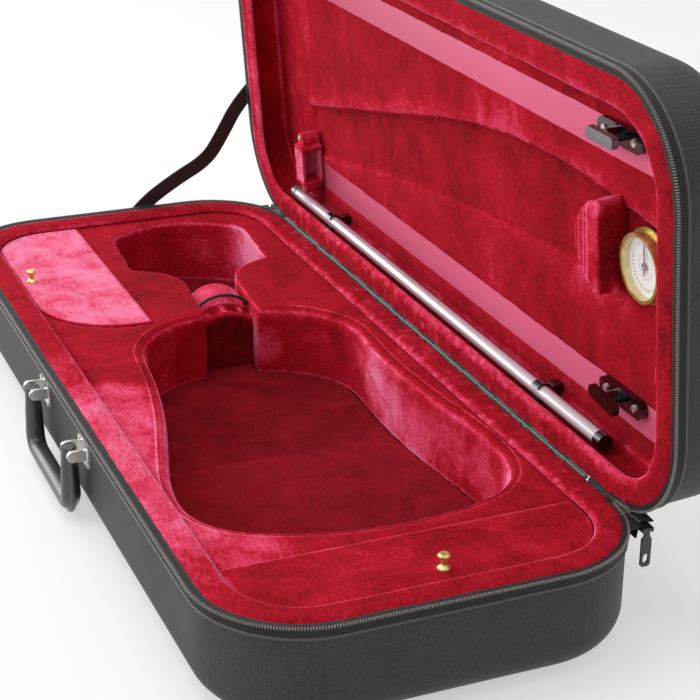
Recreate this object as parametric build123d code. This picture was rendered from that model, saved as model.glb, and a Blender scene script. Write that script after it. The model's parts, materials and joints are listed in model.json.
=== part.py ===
from build123d import *
import os
from math import sqrt

# Oblong viola case, standing open. Millimetres. The origin is the centre of the base's underside,
# +X points to the end that holds the viola's body, +Y to the hinge, and the handle is at -Y.

# Both halves, measured over the woven cover
CASE_LENGTH = 820.0
CASE_WIDTH = 313.0
BASE_HEIGHT = 80.0
LID_DEPTH = 62.0
CORNER_R = 78.0
EDGE_R = 24.0
LID_OPEN_ANGLE = 85.5

# Walls, from the outside in
COVER_T = 1.2
WALL_T = 6.0
FLOOR_T = 5.0
PANEL_MARGIN = 4.0
RIM_SET = 1.5
VELVET_SET = 0.3

# Velvet border round each half
BORDER_W = 20.0
BORDER_T = 6.0
BORDER_ROUND = 2.5
BORDER_OVERRUN = 3.0

# Zip round three sides, with its tape, teeth and piping
TAPE_T = 0.8
TAPE_H = 6.5
TEETH_OUT = 1.6
TEETH_H = 2.0
ZIP_END_SET = 58.0
PIPING_OUT = 1.6
PIPING_H = 2.4

# Long hinge on the back
HINGE_LEFT_SET = 89.0
HINGE_RIGHT_SET = 117.0
KNUCKLE_R = 1.6
HINGE_PIN_R = 0.8
HINGE_PLAY = 0.05
KNUCKLE_COUNT = 21
KNUCKLE_GAP = 0.4
LEAF_T = 0.8
LEAF_H = 12.0
HINGE_RIVET_COUNT = 8
HINGE_RIVET_R = 2.0
HINGE_RIVET_H = 0.8

# Viola cavity: bouts, neck slot and scroll box on one straight line, turned a little in the case.
# Lengths run along that line, and the bouts take up what the others leave.
VIOLA_END_SET = 205.0
VIOLA_Y = 3.0
VIOLA_TURN = -4.9
LOWER_BOUT_SIDE = 33.2
LOWER_BOUT_END = 84.0
END_FLAT_HALF = 75.0
END_BULGE = 13.0
END_TURN = 34.0
UPPER_BOUT_SIDE = 62.5
SHOULDER_L = 80.0
NECK_HALF = 23.5
NECK_SLOT_L = 80.0
FLARE_L = 47.0
FLARE_ROUND = 10.0
SCROLL_SIDE = 91.5
SCROLL_BOX_L = 106.0
SCROLL_ROUND = 20.0
SCROLL_CORNER_SET = 13.0
SCROLL_END_BULGE = 19.0
SCROLL_END_ROUND = 14.0
SCROLL_END_SET = 243.0
FLOOR_PAD_T = 5.8
CAVITY_DEPTH = BASE_HEIGHT - COVER_T - FLOOR_T - FLOOR_PAD_T
CAVITY_ROLL = 9.0
NECK_ROLL = 3.0
PAD_PLAY = 0.4

# Neck rest and its elastic cord
NECK_REST_SET = 18.0
NECK_REST_L = 61.0
NECK_REST_TOP = 14.0
NECK_REST_CROWN = 9.0
NECK_REST_ROUND = 5.0
NECK_REST_PLAY = 0.3
NECK_CORD_SET = 15.0
NECK_CORD_R = 1.4
NECK_CORD_PLAY = 1.3

# Pocket lids
POCKET_LID_T = 4.0
POCKET_LID_PROUD = 1.0
POCKET_LID_PLAY = 1.0
POCKET_SEAT_PLAY = 0.3
POCKET_LEDGE = 7.0
POCKET_FLOOR_T = 13.8
POCKET_DEPTH = BASE_HEIGHT - COVER_T - FLOOR_T - POCKET_FLOOR_T
LEFT_LID_L = 291.0
LEFT_LID_HINGE_Y = -42.0
LEFT_LID_ROUND = 76.0
RIGHT_LID_L = 99.0
LEFT_KNOB_SET = (158.0, 38.0)
RIGHT_KNOB_SET = 44.0
RIGHT_KNOB_Y = 10.0
KNOB_H = 12.0
KNOB_FOOT_R = 4.6
KNOB_NECK_R = 2.1
KNOB_HEAD_R = 4.4
KNOB_STUD_R = 1.5
KNOB_STUD_PLAY = 0.05

# Handle on the front wall
HANDLE_X = 15.0
HANDLE_SPAN = 122.0
HANDLE_PIVOT_DROP = 19.5
HANDLE_PIVOT_OUT = 12.5
HANDLE_DROP = 57.0
GRIP_W = 20.0
GRIP_H = 14.0
GRIP_LEG_W = 14.0
GRIP_BEND_R = 18.0
GRIP_EYE_R = 6.0
HANDLE_PIN_R = 2.0
HANDLE_PIN_PLAY = 0.05
EAR_T = 3.0
EAR_GAP = 16.0
EAR_R = 4.5
BRACKET_W = 26.0
BRACKET_H = 21.0
BRACKET_T = 1.5
BRACKET_RIVET_R = 1.5
BRACKET_RIVET_HEAD_R = 2.0
BRACKET_RIVET_HEAD_H = 0.9
BRACKET_RIVET_INSET = 2.3
RIVET_PLAY = 0.05
BACKING_T = 1.5

# Gussets, slider and pull where the zip ends by the hinge
GUSSET_T = 1.2
GUSSET_DROP = 0.6
GUSSET_END_SET = 39.0
SLIDER_SET = 46.0
SLIDER_L = 14.0
SLIDER_W = 9.0
SLIDER_H = 3.2
SLIDER_EAR_T = 1.6
SLIDER_EAR_L = 3.8
PULL_PIN_R = 0.8
PULL_PLAY = 0.08
PULL_BARREL_R = 1.6
PULL_NECK_W = 4.6
PULL_NECK_L = 5.5
PULL_L = 29.0
PULL_W = 8.0
PULL_T = 1.4
PULL_SLOT_W = 4.0
PULL_SLOT_L = 7.0
PULL_SIDE_PLAY = 0.3

# Webbing strap on the left end, between base and lid: points along its middle, each as the
# distance in front of the hinge line and the height above the rim
STRAP_T = 1.6
STRAP_W = 18.0
STRAP_CLEAR = 0.2
STRAP_ROUTE = [
    (144.0, -24.0),
    (124.0, 0.0),
    (86.0, 24.0),
    (52.0, 41.0),
    (36.0, 65.0),
    (16.0, 100.0),
    (-12.0, 126.0),
]
STRAP_BEND_R = 26.0
ANCHOR_W = 20.0
ANCHOR_RIVET_R = 4.0
ANCHOR_RIVET_H = 1.6

# Lid lining; distances v run up from the hinge line, depths w run into the lid from its rim plane
LINER_WALL = 3.0
LINER_DEPTH = 36.0
LINER_ROUND = 8.0
CHANNEL_DEPTH = 2.0
CHANNEL_LEFT_SET = 80.0
CHANNEL_RIGHT_SET = 60.0
CHANNEL_LEFT_V = (62.0, 112.0)
CHANNEL_MID_SET = 460.0
CHANNEL_MID_V = (108.0, 174.0)
CHANNEL_BODY_SET = 220.0
CHANNEL_BODY_V = (134.0, 207.0)
CHANNEL_RIGHT_V = (130.0, 194.0)

# Bow strips, tip holders and turning clips in the lid
STRIP_W = 26.5
STRIP_T = 1.2
STRIP_GROOVE = 2.0
STRIP_LOWER_V = 46.3
STRIP_TOP_SET = 70.6
HOLDER_SET = 92.0
HOLDER_L = 20.0
HOLDER_H = 22.0
HOLDER_V_SHIFT = 12.2
HOLDER_SPAN = 38.0
HOLDER_SLOT_W = 30.0
HOLDER_SLOT_H = 15.0
HOLDER_SLOT_L = 16.0
LOBE_R = 8.0
LOBE_H = 18.0
LOBE_SCREW_R = 2.4
LOBE_SCREW_H = 1.0
CLIP_SET = 122.0
CLIP_V_SHIFT = 8.0
CLIP_L = 60.0
CLIP_W = 15.0
CLIP_BASE_H = 5.0
CLIP_POST_X = -3.0
CLIP_POST_R = 3.0
CLIP_POST_PLAY = 0.05
CLIP_BOSS_R = 5.5
CLIP_BOSS_H = 9.0
CLIP_BAR_L = 36.0
CLIP_BAR_W = 9.0
CLIP_BAR_T = 5.0
CLIP_BAR_PLAY = 0.3
CLIP_BAR_TURN = (-8.0, 0.0)
CLIP_SCREW_SPREAD = 40.0
CLIP_SCREW_R = 2.8
CLIP_SCREW_H = 1.2

# String tube in its clips
TUBE_LEFT_SET = 83.0
TUBE_RIGHT_SET = 131.0
TUBE_V = 20.5
TUBE_W = 19.0
TUBE_R = 6.0
TUBE_BORE_R = 5.2
TUBE_CAP_R = 6.6
TUBE_CAP_L = 9.0
TUBE_PLUG_L = 8.0
TUBE_PLUG_PLAY = 0.05
CLAMP_SET = 90.0
CLAMP_L = 10.0
CLAMP_T = 1.8
CLAMP_PLAY = 0.12
CLAMP_MOUTH = 9.0
CLAMP_FOOT_W = 8.0

# Neck pad and hygrometer on the lid lining
PAD_FACE_SET = 122.0
PAD_V = 172.0
PAD_R = 35.0
PAD_H = 24.0
PAD_ROUND = 3.0
METER_SET = 92.0
METER_V = 166.0
METER_R = 25.0
METER_H = 10.0
METER_RIM = 2.5
METER_FLANGE_R = 27.5
METER_FLANGE_T = 1.6
METER_RECESS = 7.0
DIAL_T = 1.0
GLASS_T = 1.2
GLASS_SET = 1.0
NEEDLE_L = 17.0
NEEDLE_TAIL = 6.0
NEEDLE_W = 1.2
NEEDLE_T = 0.6
NEEDLE_LIFT = 1.2
NEEDLE_HUB_R = 3.0
NEEDLE_SPINDLE_R = 0.8
NEEDLE_PLAY = 0.05
METER_PAD_CLEAR = 2.0

# Nearer than this, an edge counts as lying on a line
TOUCHING = 0.01

# Worked-out places
WALL_INSET = COVER_T + WALL_T
HINGE_Y = CASE_WIDTH / 2 + KNUCKLE_R
FRONT_Y = -CASE_WIDTH / 2
END_X = CASE_LENGTH / 2
ZIP_END_X = END_X - ZIP_END_SET
HINGE_LEFT_X = -END_X + HINGE_LEFT_SET
HINGE_LENGTH = CASE_LENGTH - HINGE_LEFT_SET - HINGE_RIGHT_SET
GUSSET_END_X = END_X - GUSSET_END_SET
SLIDER_X = END_X - SLIDER_SET
VIOLA_X = END_X - VIOLA_END_SET
LOWER_BOUT_HALF = CASE_WIDTH / 2 - LOWER_BOUT_SIDE
UPPER_BOUT_HALF = CASE_WIDTH / 2 - UPPER_BOUT_SIDE
SCROLL_HALF = CASE_WIDTH / 2 - SCROLL_SIDE
SCROLL_CORNER_HALF = SCROLL_HALF - SCROLL_CORNER_SET
SCROLL_END_X = SCROLL_END_SET - CASE_LENGTH
SCROLL_CORNER_X = SCROLL_END_X + SCROLL_END_BULGE
SCROLL_BOX_X = SCROLL_CORNER_X + SCROLL_BOX_L
SCROLL_FLARE_X = SCROLL_BOX_X + FLARE_L
SHOULDER_X = SCROLL_FLARE_X + NECK_SLOT_L
UPPER_BOUT_X = SHOULDER_X + SHOULDER_L
NECK_REST_FRONT = SHOULDER_X - NECK_REST_SET
NECK_CORD_X = NECK_REST_FRONT - NECK_CORD_SET
LEFT_LID_END = -END_X + LEFT_LID_L
RIGHT_LID_HINGE_X = END_X - RIGHT_LID_L
LEFT_KNOB = (-END_X + LEFT_KNOB_SET[0], FRONT_Y + LEFT_KNOB_SET[1])
RIGHT_KNOB = (END_X - RIGHT_KNOB_SET, RIGHT_KNOB_Y)
STRAP_POINTS = [(HINGE_Y - back, BASE_HEIGHT + up) for back, up in STRAP_ROUTE]
CHANNEL_LEFT_X = -END_X + CHANNEL_LEFT_SET
CHANNEL_MID_X = END_X - CHANNEL_MID_SET
CHANNEL_BODY_X = END_X - CHANNEL_BODY_SET
CHANNEL_RIGHT_X = END_X - CHANNEL_RIGHT_SET
STRIP_V = (STRIP_LOWER_V, CASE_WIDTH + KNUCKLE_R - STRIP_TOP_SET)
HOLDER_X = -END_X + HOLDER_SET
CLIP_X = END_X - CLIP_SET
TUBE_L = CASE_LENGTH - TUBE_LEFT_SET - TUBE_RIGHT_SET
TUBE_X = (TUBE_LEFT_SET - TUBE_RIGHT_SET) / 2
CLAMP_X = (TUBE_X - TUBE_L / 2 + CLAMP_SET, TUBE_X + TUBE_L / 2 - CLAMP_SET)
PAD_FACE_X = END_X - PAD_FACE_SET
BASE_PLACE = Pos(0, 0, BASE_HEIGHT)
LID_PLACE = Pos(0, HINGE_Y, BASE_HEIGHT) * Rot(180 - LID_OPEN_ANGLE, 0, 0)
LID_TUB_PLACE = LID_PLACE * Pos(0, HINGE_Y, 0) * Rot(0, 0, 180)
VIOLA_PLACE = Pos(VIOLA_X, VIOLA_Y) * Rot(0, 0, VIOLA_TURN)
CHANNEL_FLOOR = LINER_DEPTH + CHANNEL_DEPTH
FIELD_TOP = -BORDER_T
POCKET_LID_TOP = FIELD_TOP + POCKET_LID_PROUD

parts = {}


def slab(sketch, low, high):
    """A flat sketch made solid from low to high."""
    return extrude(Pos(0, 0, low) * sketch, high - low)


def cylinder(radius, low, high, x=0.0, y=0.0):
    return slab(Pos(x, y) * Circle(radius), low, high)


def box(x, y, z):
    """A block between three pairs of limits."""
    size = [pair[1] - pair[0] for pair in (x, y, z)]
    return Pos(x[0], y[0], z[0]) * Box(*size, align=(Align.MIN, Align.MIN, Align.MIN))


def in_lid(part, x=0.0, v=0.0, w=0.0):
    """Place a part on the lid: v up from the hinge line, w deep from the rim plane, +Z out of the lid."""
    return LID_PLACE * Pos(x, v, -w) * part


# Plans of the case, seen from its open side, hinge at +Y


def outline(inset=0.0):
    """The case's plan, set in from the cover's outer face."""
    return RectangleRounded(CASE_LENGTH - 2 * inset, CASE_WIDTH - 2 * inset, CORNER_R - inset)


def border_outline():
    """Inside the wall on three sides, and past the back of the case along the hinge."""
    run_out = WALL_INSET + BORDER_OVERRUN
    width = CASE_WIDTH - 2 * WALL_INSET + run_out
    return Pos(0, run_out / 2) * RectangleRounded(
        CASE_LENGTH - 2 * WALL_INSET, width, CORNER_R - WALL_INSET
    )


def field_outline(play=0.0):
    """The sunk field inside the velvet border."""
    inset = WALL_INSET + BORDER_W + play
    return Pos(0, WALL_T / 2) * RectangleRounded(
        CASE_LENGTH - 2 * inset, CASE_WIDTH - 2 * inset + WALL_T, CORNER_R - inset
    )


def both_sides(half_line, start, end):
    """Close half an outline on the viola's own line, and mirror it to the other side."""
    half = make_face(Curve() + half_line + [Line((end, 0), (start, 0))])
    return (half + mirror(half, Plane.XZ)).clean()


def round_corners(face, rounds):
    """Round the corners nearest to each place, on both sides of the viola's line."""
    for (x, y), radius in rounds:
        for side in (-1, 1):
            corner = face.vertices().sort_by_distance((x, side * y))[0]
            face = fillet(corner, radius)
    return face


def bout_outline(play=0.0):
    """Lower and upper bout, as far as the shoulders."""
    end = LOWER_BOUT_END - play
    end_side = (end - END_BULGE, END_FLAT_HALF - play)
    lower_half = LOWER_BOUT_HALF - play
    upper_half = UPPER_BOUT_HALF - play
    shoulder = SHOULDER_X + play
    shoulder_side = UPPER_BOUT_HALF - SHOULDER_L
    end_arc = TangentArc((end, 0), end_side, tangent=(0, 1))
    half = [
        end_arc,
        Bezier(
            end_side,
            end_arc @ 1 + end_arc % 1 * END_TURN,
            (end - 3.4 * END_BULGE, lower_half),
            (0, lower_half),
        ),
        Bezier(
            (0, lower_half),
            (0.24 * UPPER_BOUT_X, lower_half),
            (0.48 * UPPER_BOUT_X, upper_half),
            (UPPER_BOUT_X, upper_half),
        ),
        TangentArc((UPPER_BOUT_X, upper_half), (shoulder, shoulder_side), tangent=(-1, 0)),
        Line((shoulder, shoulder_side), (shoulder, 0)),
    ]
    return VIOLA_PLACE * both_sides(half, end, shoulder)


def neck_outline(play=0.0):
    """Neck slot and scroll box; the slot starts inside the bouts."""
    start = SHOULDER_X + SHOULDER_L / 4
    neck_half = NECK_HALF - play
    scroll_half = SCROLL_HALF - play
    scroll_front = SCROLL_BOX_X - play
    corner = (SCROLL_CORNER_X + play, SCROLL_CORNER_HALF - play)
    scroll_end = SCROLL_END_X + play
    round_start = (corner[0] + SCROLL_ROUND, scroll_half)
    half = [
        Line((start, 0), (start, neck_half)),
        Line((start, neck_half), (SCROLL_FLARE_X, neck_half)),
        TangentArc((SCROLL_FLARE_X, neck_half), (scroll_front, scroll_half), tangent=(-1, 0)),
        Line((scroll_front, scroll_half), round_start),
        TangentArc(round_start, corner, tangent=(-1, 0)),
        TangentArc((scroll_end, 0), corner, tangent=(0, 1)),
    ]
    whole = both_sides(half, start, scroll_end)
    rounds = [((scroll_front, scroll_half), FLARE_ROUND), (corner, SCROLL_END_ROUND)]
    return VIOLA_PLACE * round_corners(whole, rounds)


def left_lid_outline(play=0.0):
    """Under the border's front left corner, with a straight hinge edge and one large round."""
    front = -CASE_WIDTH / 2 + WALL_INSET + BORDER_W + play
    reach = Pos(LEFT_LID_END - play, LEFT_LID_HINGE_Y - play) * Rectangle(
        CASE_LENGTH, CASE_WIDTH, align=(Align.MAX, Align.MAX)
    )
    plan = field_outline(play) & reach
    corner = plan.vertices().sort_by_distance((LEFT_LID_END - play, front))[0]
    deepest = LEFT_LID_HINGE_Y - play - front
    return fillet(corner, min(LEFT_LID_ROUND, deepest - 2))


def right_lid_outline(play=0.0):
    """The whole right end of the field, hinged along its inner edge."""
    reach = Pos(RIGHT_LID_HINGE_X + play, 0) * Rectangle(
        CASE_LENGTH, CASE_WIDTH, align=(Align.MIN, Align.CENTER)
    )
    return field_outline(play) & reach


# Pieces that both halves have, with the rim plane at z = 0


def tub(inset, depth):
    """A solid tub from its rounded floor up to the rim plane."""
    block = slab(outline(inset), -depth, 0)
    return fillet(block.edges().group_by(Axis.Z)[0], EDGE_R - inset)


def half_shell(depth):
    inner = tub(WALL_INSET, depth - COVER_T - FLOOR_T)
    shell = tub(COVER_T, depth - COVER_T) - inner
    shell -= slab(border_outline(), -BORDER_T, 0)
    return shell - slab(outline(), -RIM_SET, 0)


def half_cover(depth):
    skin = tub(0, depth) - tub(COVER_T, depth - COVER_T)
    skin -= slab(outline(-TAPE_T), -RIM_SET, 0)
    return skin - slab(outline(EDGE_R + PANEL_MARGIN), -depth, -depth + COVER_T)


def half_panel(depth):
    """Flat outer panel sewn into the cover."""
    return slab(outline(EDGE_R + PANEL_MARGIN), -depth, -depth + COVER_T)


def open_at_hinge(ring):
    """Cut a ring away along the hinge, between the zip's two ends."""
    deep = CASE_WIDTH
    return ring - box((-ZIP_END_X, ZIP_END_X), (0, deep), (-deep, deep))


def half_zip_tape():
    side = slab(outline(-TAPE_T) - outline(), -RIM_SET - TAPE_H, -RIM_SET)
    ledge = slab(outline(-TAPE_T) - border_outline(), -RIM_SET, -VELVET_SET)
    return open_at_hinge(side + ledge)


def half_zip_teeth():
    ring = outline(-TAPE_T - TEETH_OUT) - outline(-TAPE_T)
    return open_at_hinge(slab(ring, -VELVET_SET - TEETH_H, -VELVET_SET))


def half_piping():
    top = -RIM_SET - TAPE_H
    ring = outline(-PIPING_OUT) - outline()
    return open_at_hinge(slab(ring, top - PIPING_H, top))


def half_border():
    ring = slab(border_outline(), -BORDER_T, -VELVET_SET) & slab(outline(COVER_T), -BORDER_T, 0)
    ring -= slab(field_outline(), -BORDER_T, 0)
    top = ring.faces().sort_by(Axis.Z)[-1]
    inner = top.inner_wires()[0]
    return fillet(inner.edges(), BORDER_ROUND)


def base_shell():
    shell = half_shell(BASE_HEIGHT)
    return BASE_PLACE * (shell - bracket_holes(BRACKET_RIVET_R + RIVET_PLAY))


def base_cover():
    cover = half_cover(BASE_HEIGHT)
    return BASE_PLACE * (cover - bracket_holes(BRACKET_RIVET_R + RIVET_PLAY))


def edges_along(solid, plan, level):
    """The solid's level edges that follow a plan's outline."""
    lines = (Pos(0, 0, level) * plan).edges()
    flat = solid.edges().filter_by_position(Axis.Z, level, level)
    return [edge for edge in flat if min(line.distance_to(edge @ 0.5) for line in lines) < TOUCHING]


def suspension_block():
    """Foam that fills the base round the cavity and the two pockets."""
    block = tub(WALL_INSET, BASE_HEIGHT - COVER_T - FLOOR_T)
    block -= slab(outline(), FIELD_TOP, 0)
    block -= slab(bout_outline(), -BASE_HEIGHT, 0)
    field = block.faces().filter_by(Axis.Z).sort_by(Axis.Z)[-1]
    block = fillet(field.inner_wires()[0].edges(), CAVITY_ROLL)
    block -= slab(neck_outline(), -BASE_HEIGHT, 0)
    block = fillet(edges_along(block, neck_outline(), FIELD_TOP), NECK_ROLL)
    seat = POCKET_LID_TOP - POCKET_LID_T - POCKET_SEAT_PLAY
    for plan in (left_lid_outline, right_lid_outline):
        block -= slab(plan(), seat, 0)
        block -= slab(plan(POCKET_LEDGE), -POCKET_DEPTH, 0)
    for x in bracket_centres():
        block -= backing_plate(x, RIVET_PLAY)
    return BASE_PLACE * block


def cavity_floor_pad():
    floor = -BASE_HEIGHT + COVER_T + FLOOR_T
    plan = bout_outline(PAD_PLAY) + neck_outline(PAD_PLAY)
    pad = slab(plan, floor, -CAVITY_DEPTH)
    return BASE_PLACE * (pad & tub(WALL_INSET, BASE_HEIGHT - COVER_T - FLOOR_T))


# Neck rest and cord, in the viola's own line


def crown_radius():
    """Radius of the neck rest's crowned top, from its width and rise."""
    half = NECK_HALF - NECK_REST_PLAY
    return (half**2 + NECK_REST_CROWN**2) / (2 * NECK_REST_CROWN)


def neck_rest():
    half = NECK_HALF - NECK_REST_PLAY
    side = -NECK_REST_TOP - NECK_REST_CROWN
    profile = make_face(
        Curve()
        + [
            Line((-half, -CAVITY_DEPTH), (half, -CAVITY_DEPTH)),
            Line((half, -CAVITY_DEPTH), (half, side)),
            ThreePointArc((half, side), (0, -NECK_REST_TOP), (-half, side)),
            Line((-half, side), (-half, -CAVITY_DEPTH)),
        ]
    )
    block = extrude(Plane.YZ.offset(NECK_REST_FRONT - NECK_REST_L) * profile, NECK_REST_L)
    ends = block.edges().filter_by(GeomType.CIRCLE)
    return BASE_PLACE * VIOLA_PLACE * fillet(ends, NECK_REST_ROUND)


def neck_cord():
    """Elastic cord over the crown, from wall to wall of the neck slot."""
    radius = crown_radius() + NECK_CORD_R
    centre = -NECK_REST_TOP - crown_radius()
    half = NECK_HALF - NECK_CORD_PLAY
    rise = sqrt(radius**2 - half**2)
    path = Plane.YZ.offset(NECK_CORD_X) * ThreePointArc(
        (-half, centre + rise), (0, centre + radius), (half, centre + rise)
    )
    section = Plane(path @ 0, z_dir=path % 0) * Circle(NECK_CORD_R)
    return BASE_PLACE * VIOLA_PLACE * sweep(section, path)


# Pocket lids and knobs


def pocket_lid(plan, knob_at):
    lid = slab(plan(POCKET_LID_PLAY / 2), POCKET_LID_TOP - POCKET_LID_T, POCKET_LID_TOP)
    hole = cylinder(KNOB_STUD_R + KNOB_STUD_PLAY, -BASE_HEIGHT, 0, *knob_at)
    return BASE_PLACE * (lid - hole)


def knob(at):
    """Turned brass knob, a foot, a waist and a head, on a stud through the lid."""
    bottom = -POCKET_LID_T
    profile = make_face(
        Polyline(
            (0, bottom),
            (KNOB_STUD_R, bottom),
            (KNOB_STUD_R, 0),
            (KNOB_FOOT_R, 0),
            (KNOB_FOOT_R, 0.12 * KNOB_H),
            (KNOB_NECK_R, 0.3 * KNOB_H),
            (KNOB_NECK_R, 0.58 * KNOB_H),
            (KNOB_HEAD_R, 0.76 * KNOB_H),
            (KNOB_HEAD_R, 0.88 * KNOB_H),
            (0.7 * KNOB_HEAD_R, KNOB_H),
            (0, KNOB_H),
            close=True,
        )
    )
    turned = revolve(Plane.XZ * profile, Axis.Z)
    return BASE_PLACE * Pos(at[0], at[1], POCKET_LID_TOP) * turned


# Handle, brackets, pins and rivets


def bracket_centres():
    return (HANDLE_X - HANDLE_SPAN / 2, HANDLE_X + HANDLE_SPAN / 2)


def bracket_rivet_places():
    """x and drop below the rim of every rivet."""
    across = BRACKET_W / 2 - BRACKET_RIVET_INSET
    down = BRACKET_H / 2 - BRACKET_RIVET_INSET
    places = []
    for x in bracket_centres():
        for side in (-1, 1):
            for level in (-1, 1):
                places.append((x + side * across, -HANDLE_PIVOT_DROP - BRACKET_T + level * down))
    return places


def front_rod(radius, x, z, start, end):
    """A rod along Y at x, z."""
    return extrude(Plane.XZ.offset(-start) * Pos(x, z) * Circle(radius), -(end - start))


def bracket_holes(radius):
    inner = FRONT_Y + WALL_INSET + 1
    holes = [front_rod(radius, x, z, FRONT_Y - 1, inner) for x, z in bracket_rivet_places()]
    return Part() + holes


def backing_plate(x, play=0.0):
    z = -HANDLE_PIVOT_DROP - BRACKET_T
    y = FRONT_Y + WALL_INSET
    return box(
        (x - BRACKET_W / 2 - play, x + BRACKET_W / 2 + play),
        (y, y + BACKING_T + play),
        (z - BRACKET_H / 2 - play, z + BRACKET_H / 2 + play),
    )


def handle_backing_plates():
    """Steel plates inside the wall that the rivets clamp."""
    holes = [
        front_rod(BRACKET_RIVET_R + RIVET_PLAY, x, z, FRONT_Y, FRONT_Y + CASE_WIDTH)
        for x, z in bracket_rivet_places()
    ]
    plates = Part() + [backing_plate(x) for x in bracket_centres()]
    return BASE_PLACE * (plates - (Part() + holes))


def handle_brackets():
    """Two riveted plates, each with a pair of ears round the grip's eye."""
    pivot_y = FRONT_Y - HANDLE_PIVOT_OUT
    made = []
    for x in bracket_centres():
        z = -HANDLE_PIVOT_DROP - BRACKET_T
        plate = box(
            (x - BRACKET_W / 2, x + BRACKET_W / 2),
            (FRONT_Y - BRACKET_T, FRONT_Y),
            (z - BRACKET_H / 2, z + BRACKET_H / 2),
        )
        plate = fillet(plate.edges().filter_by(Axis.Y), BRACKET_RIVET_INSET)
        for side in (-1, 1):
            inner = x + side * EAR_GAP / 2
            low = min(inner, inner + side * EAR_T)
            arm = box(
                (low, low + EAR_T),
                (pivot_y, FRONT_Y - BRACKET_T),
                (-HANDLE_PIVOT_DROP - EAR_R, -HANDLE_PIVOT_DROP + EAR_R),
            )
            tip = extrude(Plane.YZ.offset(low) * Pos(pivot_y, -HANDLE_PIVOT_DROP) * Circle(EAR_R), EAR_T)
            plate += arm + tip
        made.append(plate - pin_rod(x, HANDLE_PIN_R + HANDLE_PIN_PLAY, EAR_GAP + 2 * EAR_T + 2))
    brackets = Part() + made
    holes = [
        front_rod(BRACKET_RIVET_R + RIVET_PLAY, x, z, FRONT_Y - 2 * BRACKET_T, FRONT_Y)
        for x, z in bracket_rivet_places()
    ]
    return BASE_PLACE * (brackets - (Part() + holes))


def pin_rod(x, radius, length):
    plane = Plane.YZ.offset(x - length / 2)
    return extrude(plane * Pos(FRONT_Y - HANDLE_PIVOT_OUT, -HANDLE_PIVOT_DROP) * Circle(radius), length)


def handle_pins():
    length = EAR_GAP + 2 * EAR_T
    return BASE_PLACE * (Part() + [pin_rod(x, HANDLE_PIN_R, length) for x in bracket_centres()])


def handle_rivets():
    made = []
    for x, z in bracket_rivet_places():
        shank = front_rod(
            BRACKET_RIVET_R, x, z, FRONT_Y - BRACKET_T, FRONT_Y + WALL_INSET + BACKING_T
        )
        head = front_rod(
            BRACKET_RIVET_HEAD_R, x, z, FRONT_Y - BRACKET_T - BRACKET_RIVET_HEAD_H, FRONT_Y - BRACKET_T
        )
        made.append(shank + head)
    return BASE_PLACE * (Part() + made)


def handle_grip():
    """Moulded grip: two legs with eyes round the pins and a wider bar between them."""
    y = FRONT_Y - HANDLE_PIVOT_OUT
    left, right = bracket_centres()
    top = -HANDLE_PIVOT_DROP
    bottom = top - HANDLE_DROP
    half = GRIP_LEG_W / 2
    outer = [(left - half, top), (left - half, bottom), (right + half, bottom), (right + half, top)]
    inner = [
        (right - half, top),
        (right - half, bottom + GRIP_H),
        (left + half, bottom + GRIP_H),
        (left + half, top),
    ]
    plan = make_face(Polyline(*outer, *inner, close=True))
    rows = plan.vertices().group_by(Axis.Y)
    plan = fillet(rows[0], GRIP_BEND_R)
    rows = plan.vertices().filter_by_position(Axis.Y, bottom + GRIP_H - 1, bottom + GRIP_H + 1)
    plan = fillet(rows, GRIP_BEND_R - GRIP_H / 2)
    grip = extrude(Plane.XZ.offset(-y - GRIP_W / 2) * plan, GRIP_W)
    grip -= box(
        (left - CASE_LENGTH, right + CASE_LENGTH),
        (y - GRIP_W, y + GRIP_W),
        (top - GRIP_EYE_R, top + GRIP_W),
    )
    grip = fillet(grip.edges().filter_by(Plane.XZ), 3)
    eyes = [pin_rod(x, GRIP_EYE_R, GRIP_LEG_W) for x in (left, right)]
    necks = [
        box((x - half, x + half), (y - GRIP_EYE_R, y + GRIP_EYE_R), (top - GRIP_EYE_R - 4, top))
        for x in (left, right)
    ]
    grip = grip + eyes + necks
    bores = [pin_rod(x, HANDLE_PIN_R + HANDLE_PIN_PLAY, 2 * GRIP_LEG_W) for x in (left, right)]
    return BASE_PLACE * (grip - (Part() + bores))


# Long hinge on the back


def hinge_leaf(first):
    """Leaf with every second knuckle, in the base's tub frame; first is 0 or 1."""
    start = HINGE_LEFT_X
    pitch = HINGE_LENGTH / KNUCKLE_COUNT
    back = CASE_WIDTH / 2
    leaf = box((start, start + HINGE_LENGTH), (back, back + LEAF_T), (-LEAF_H - KNUCKLE_R, -KNUCKLE_R))
    barrel = Part()
    for number in range(first, KNUCKLE_COUNT, 2):
        x = start + number * pitch + KNUCKLE_GAP / 2
        length = pitch - KNUCKLE_GAP
        roll = extrude(Plane.YZ.offset(x) * Pos(HINGE_Y, 0) * Circle(KNUCKLE_R), length)
        web = box((x, x + length), (back, back + LEAF_T), (-KNUCKLE_R, 0))
        barrel += roll + web
    bore = extrude(
        Plane.YZ.offset(start - 1) * Pos(HINGE_Y, 0) * Circle(HINGE_PIN_R + HINGE_PLAY),
        HINGE_LENGTH + 2,
    )
    return leaf + barrel - bore


def hinge_pin():
    start = HINGE_LEFT_X
    pin = extrude(Plane.YZ.offset(start) * Pos(HINGE_Y, 0) * Circle(HINGE_PIN_R), HINGE_LENGTH)
    return BASE_PLACE * pin


def hinge_rivets():
    """Rivet heads along the leaf."""
    pitch = HINGE_LENGTH / HINGE_RIVET_COUNT
    back = CASE_WIDTH / 2 + LEAF_T
    heads = []
    for number in range(HINGE_RIVET_COUNT):
        x = HINGE_LEFT_X + (number + 0.5) * pitch
        heads.append(
            front_rod(HINGE_RIVET_R, x, -KNUCKLE_R - 0.55 * LEAF_H, back, back + HINGE_RIVET_H)
        )
    return Part() + heads


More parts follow.
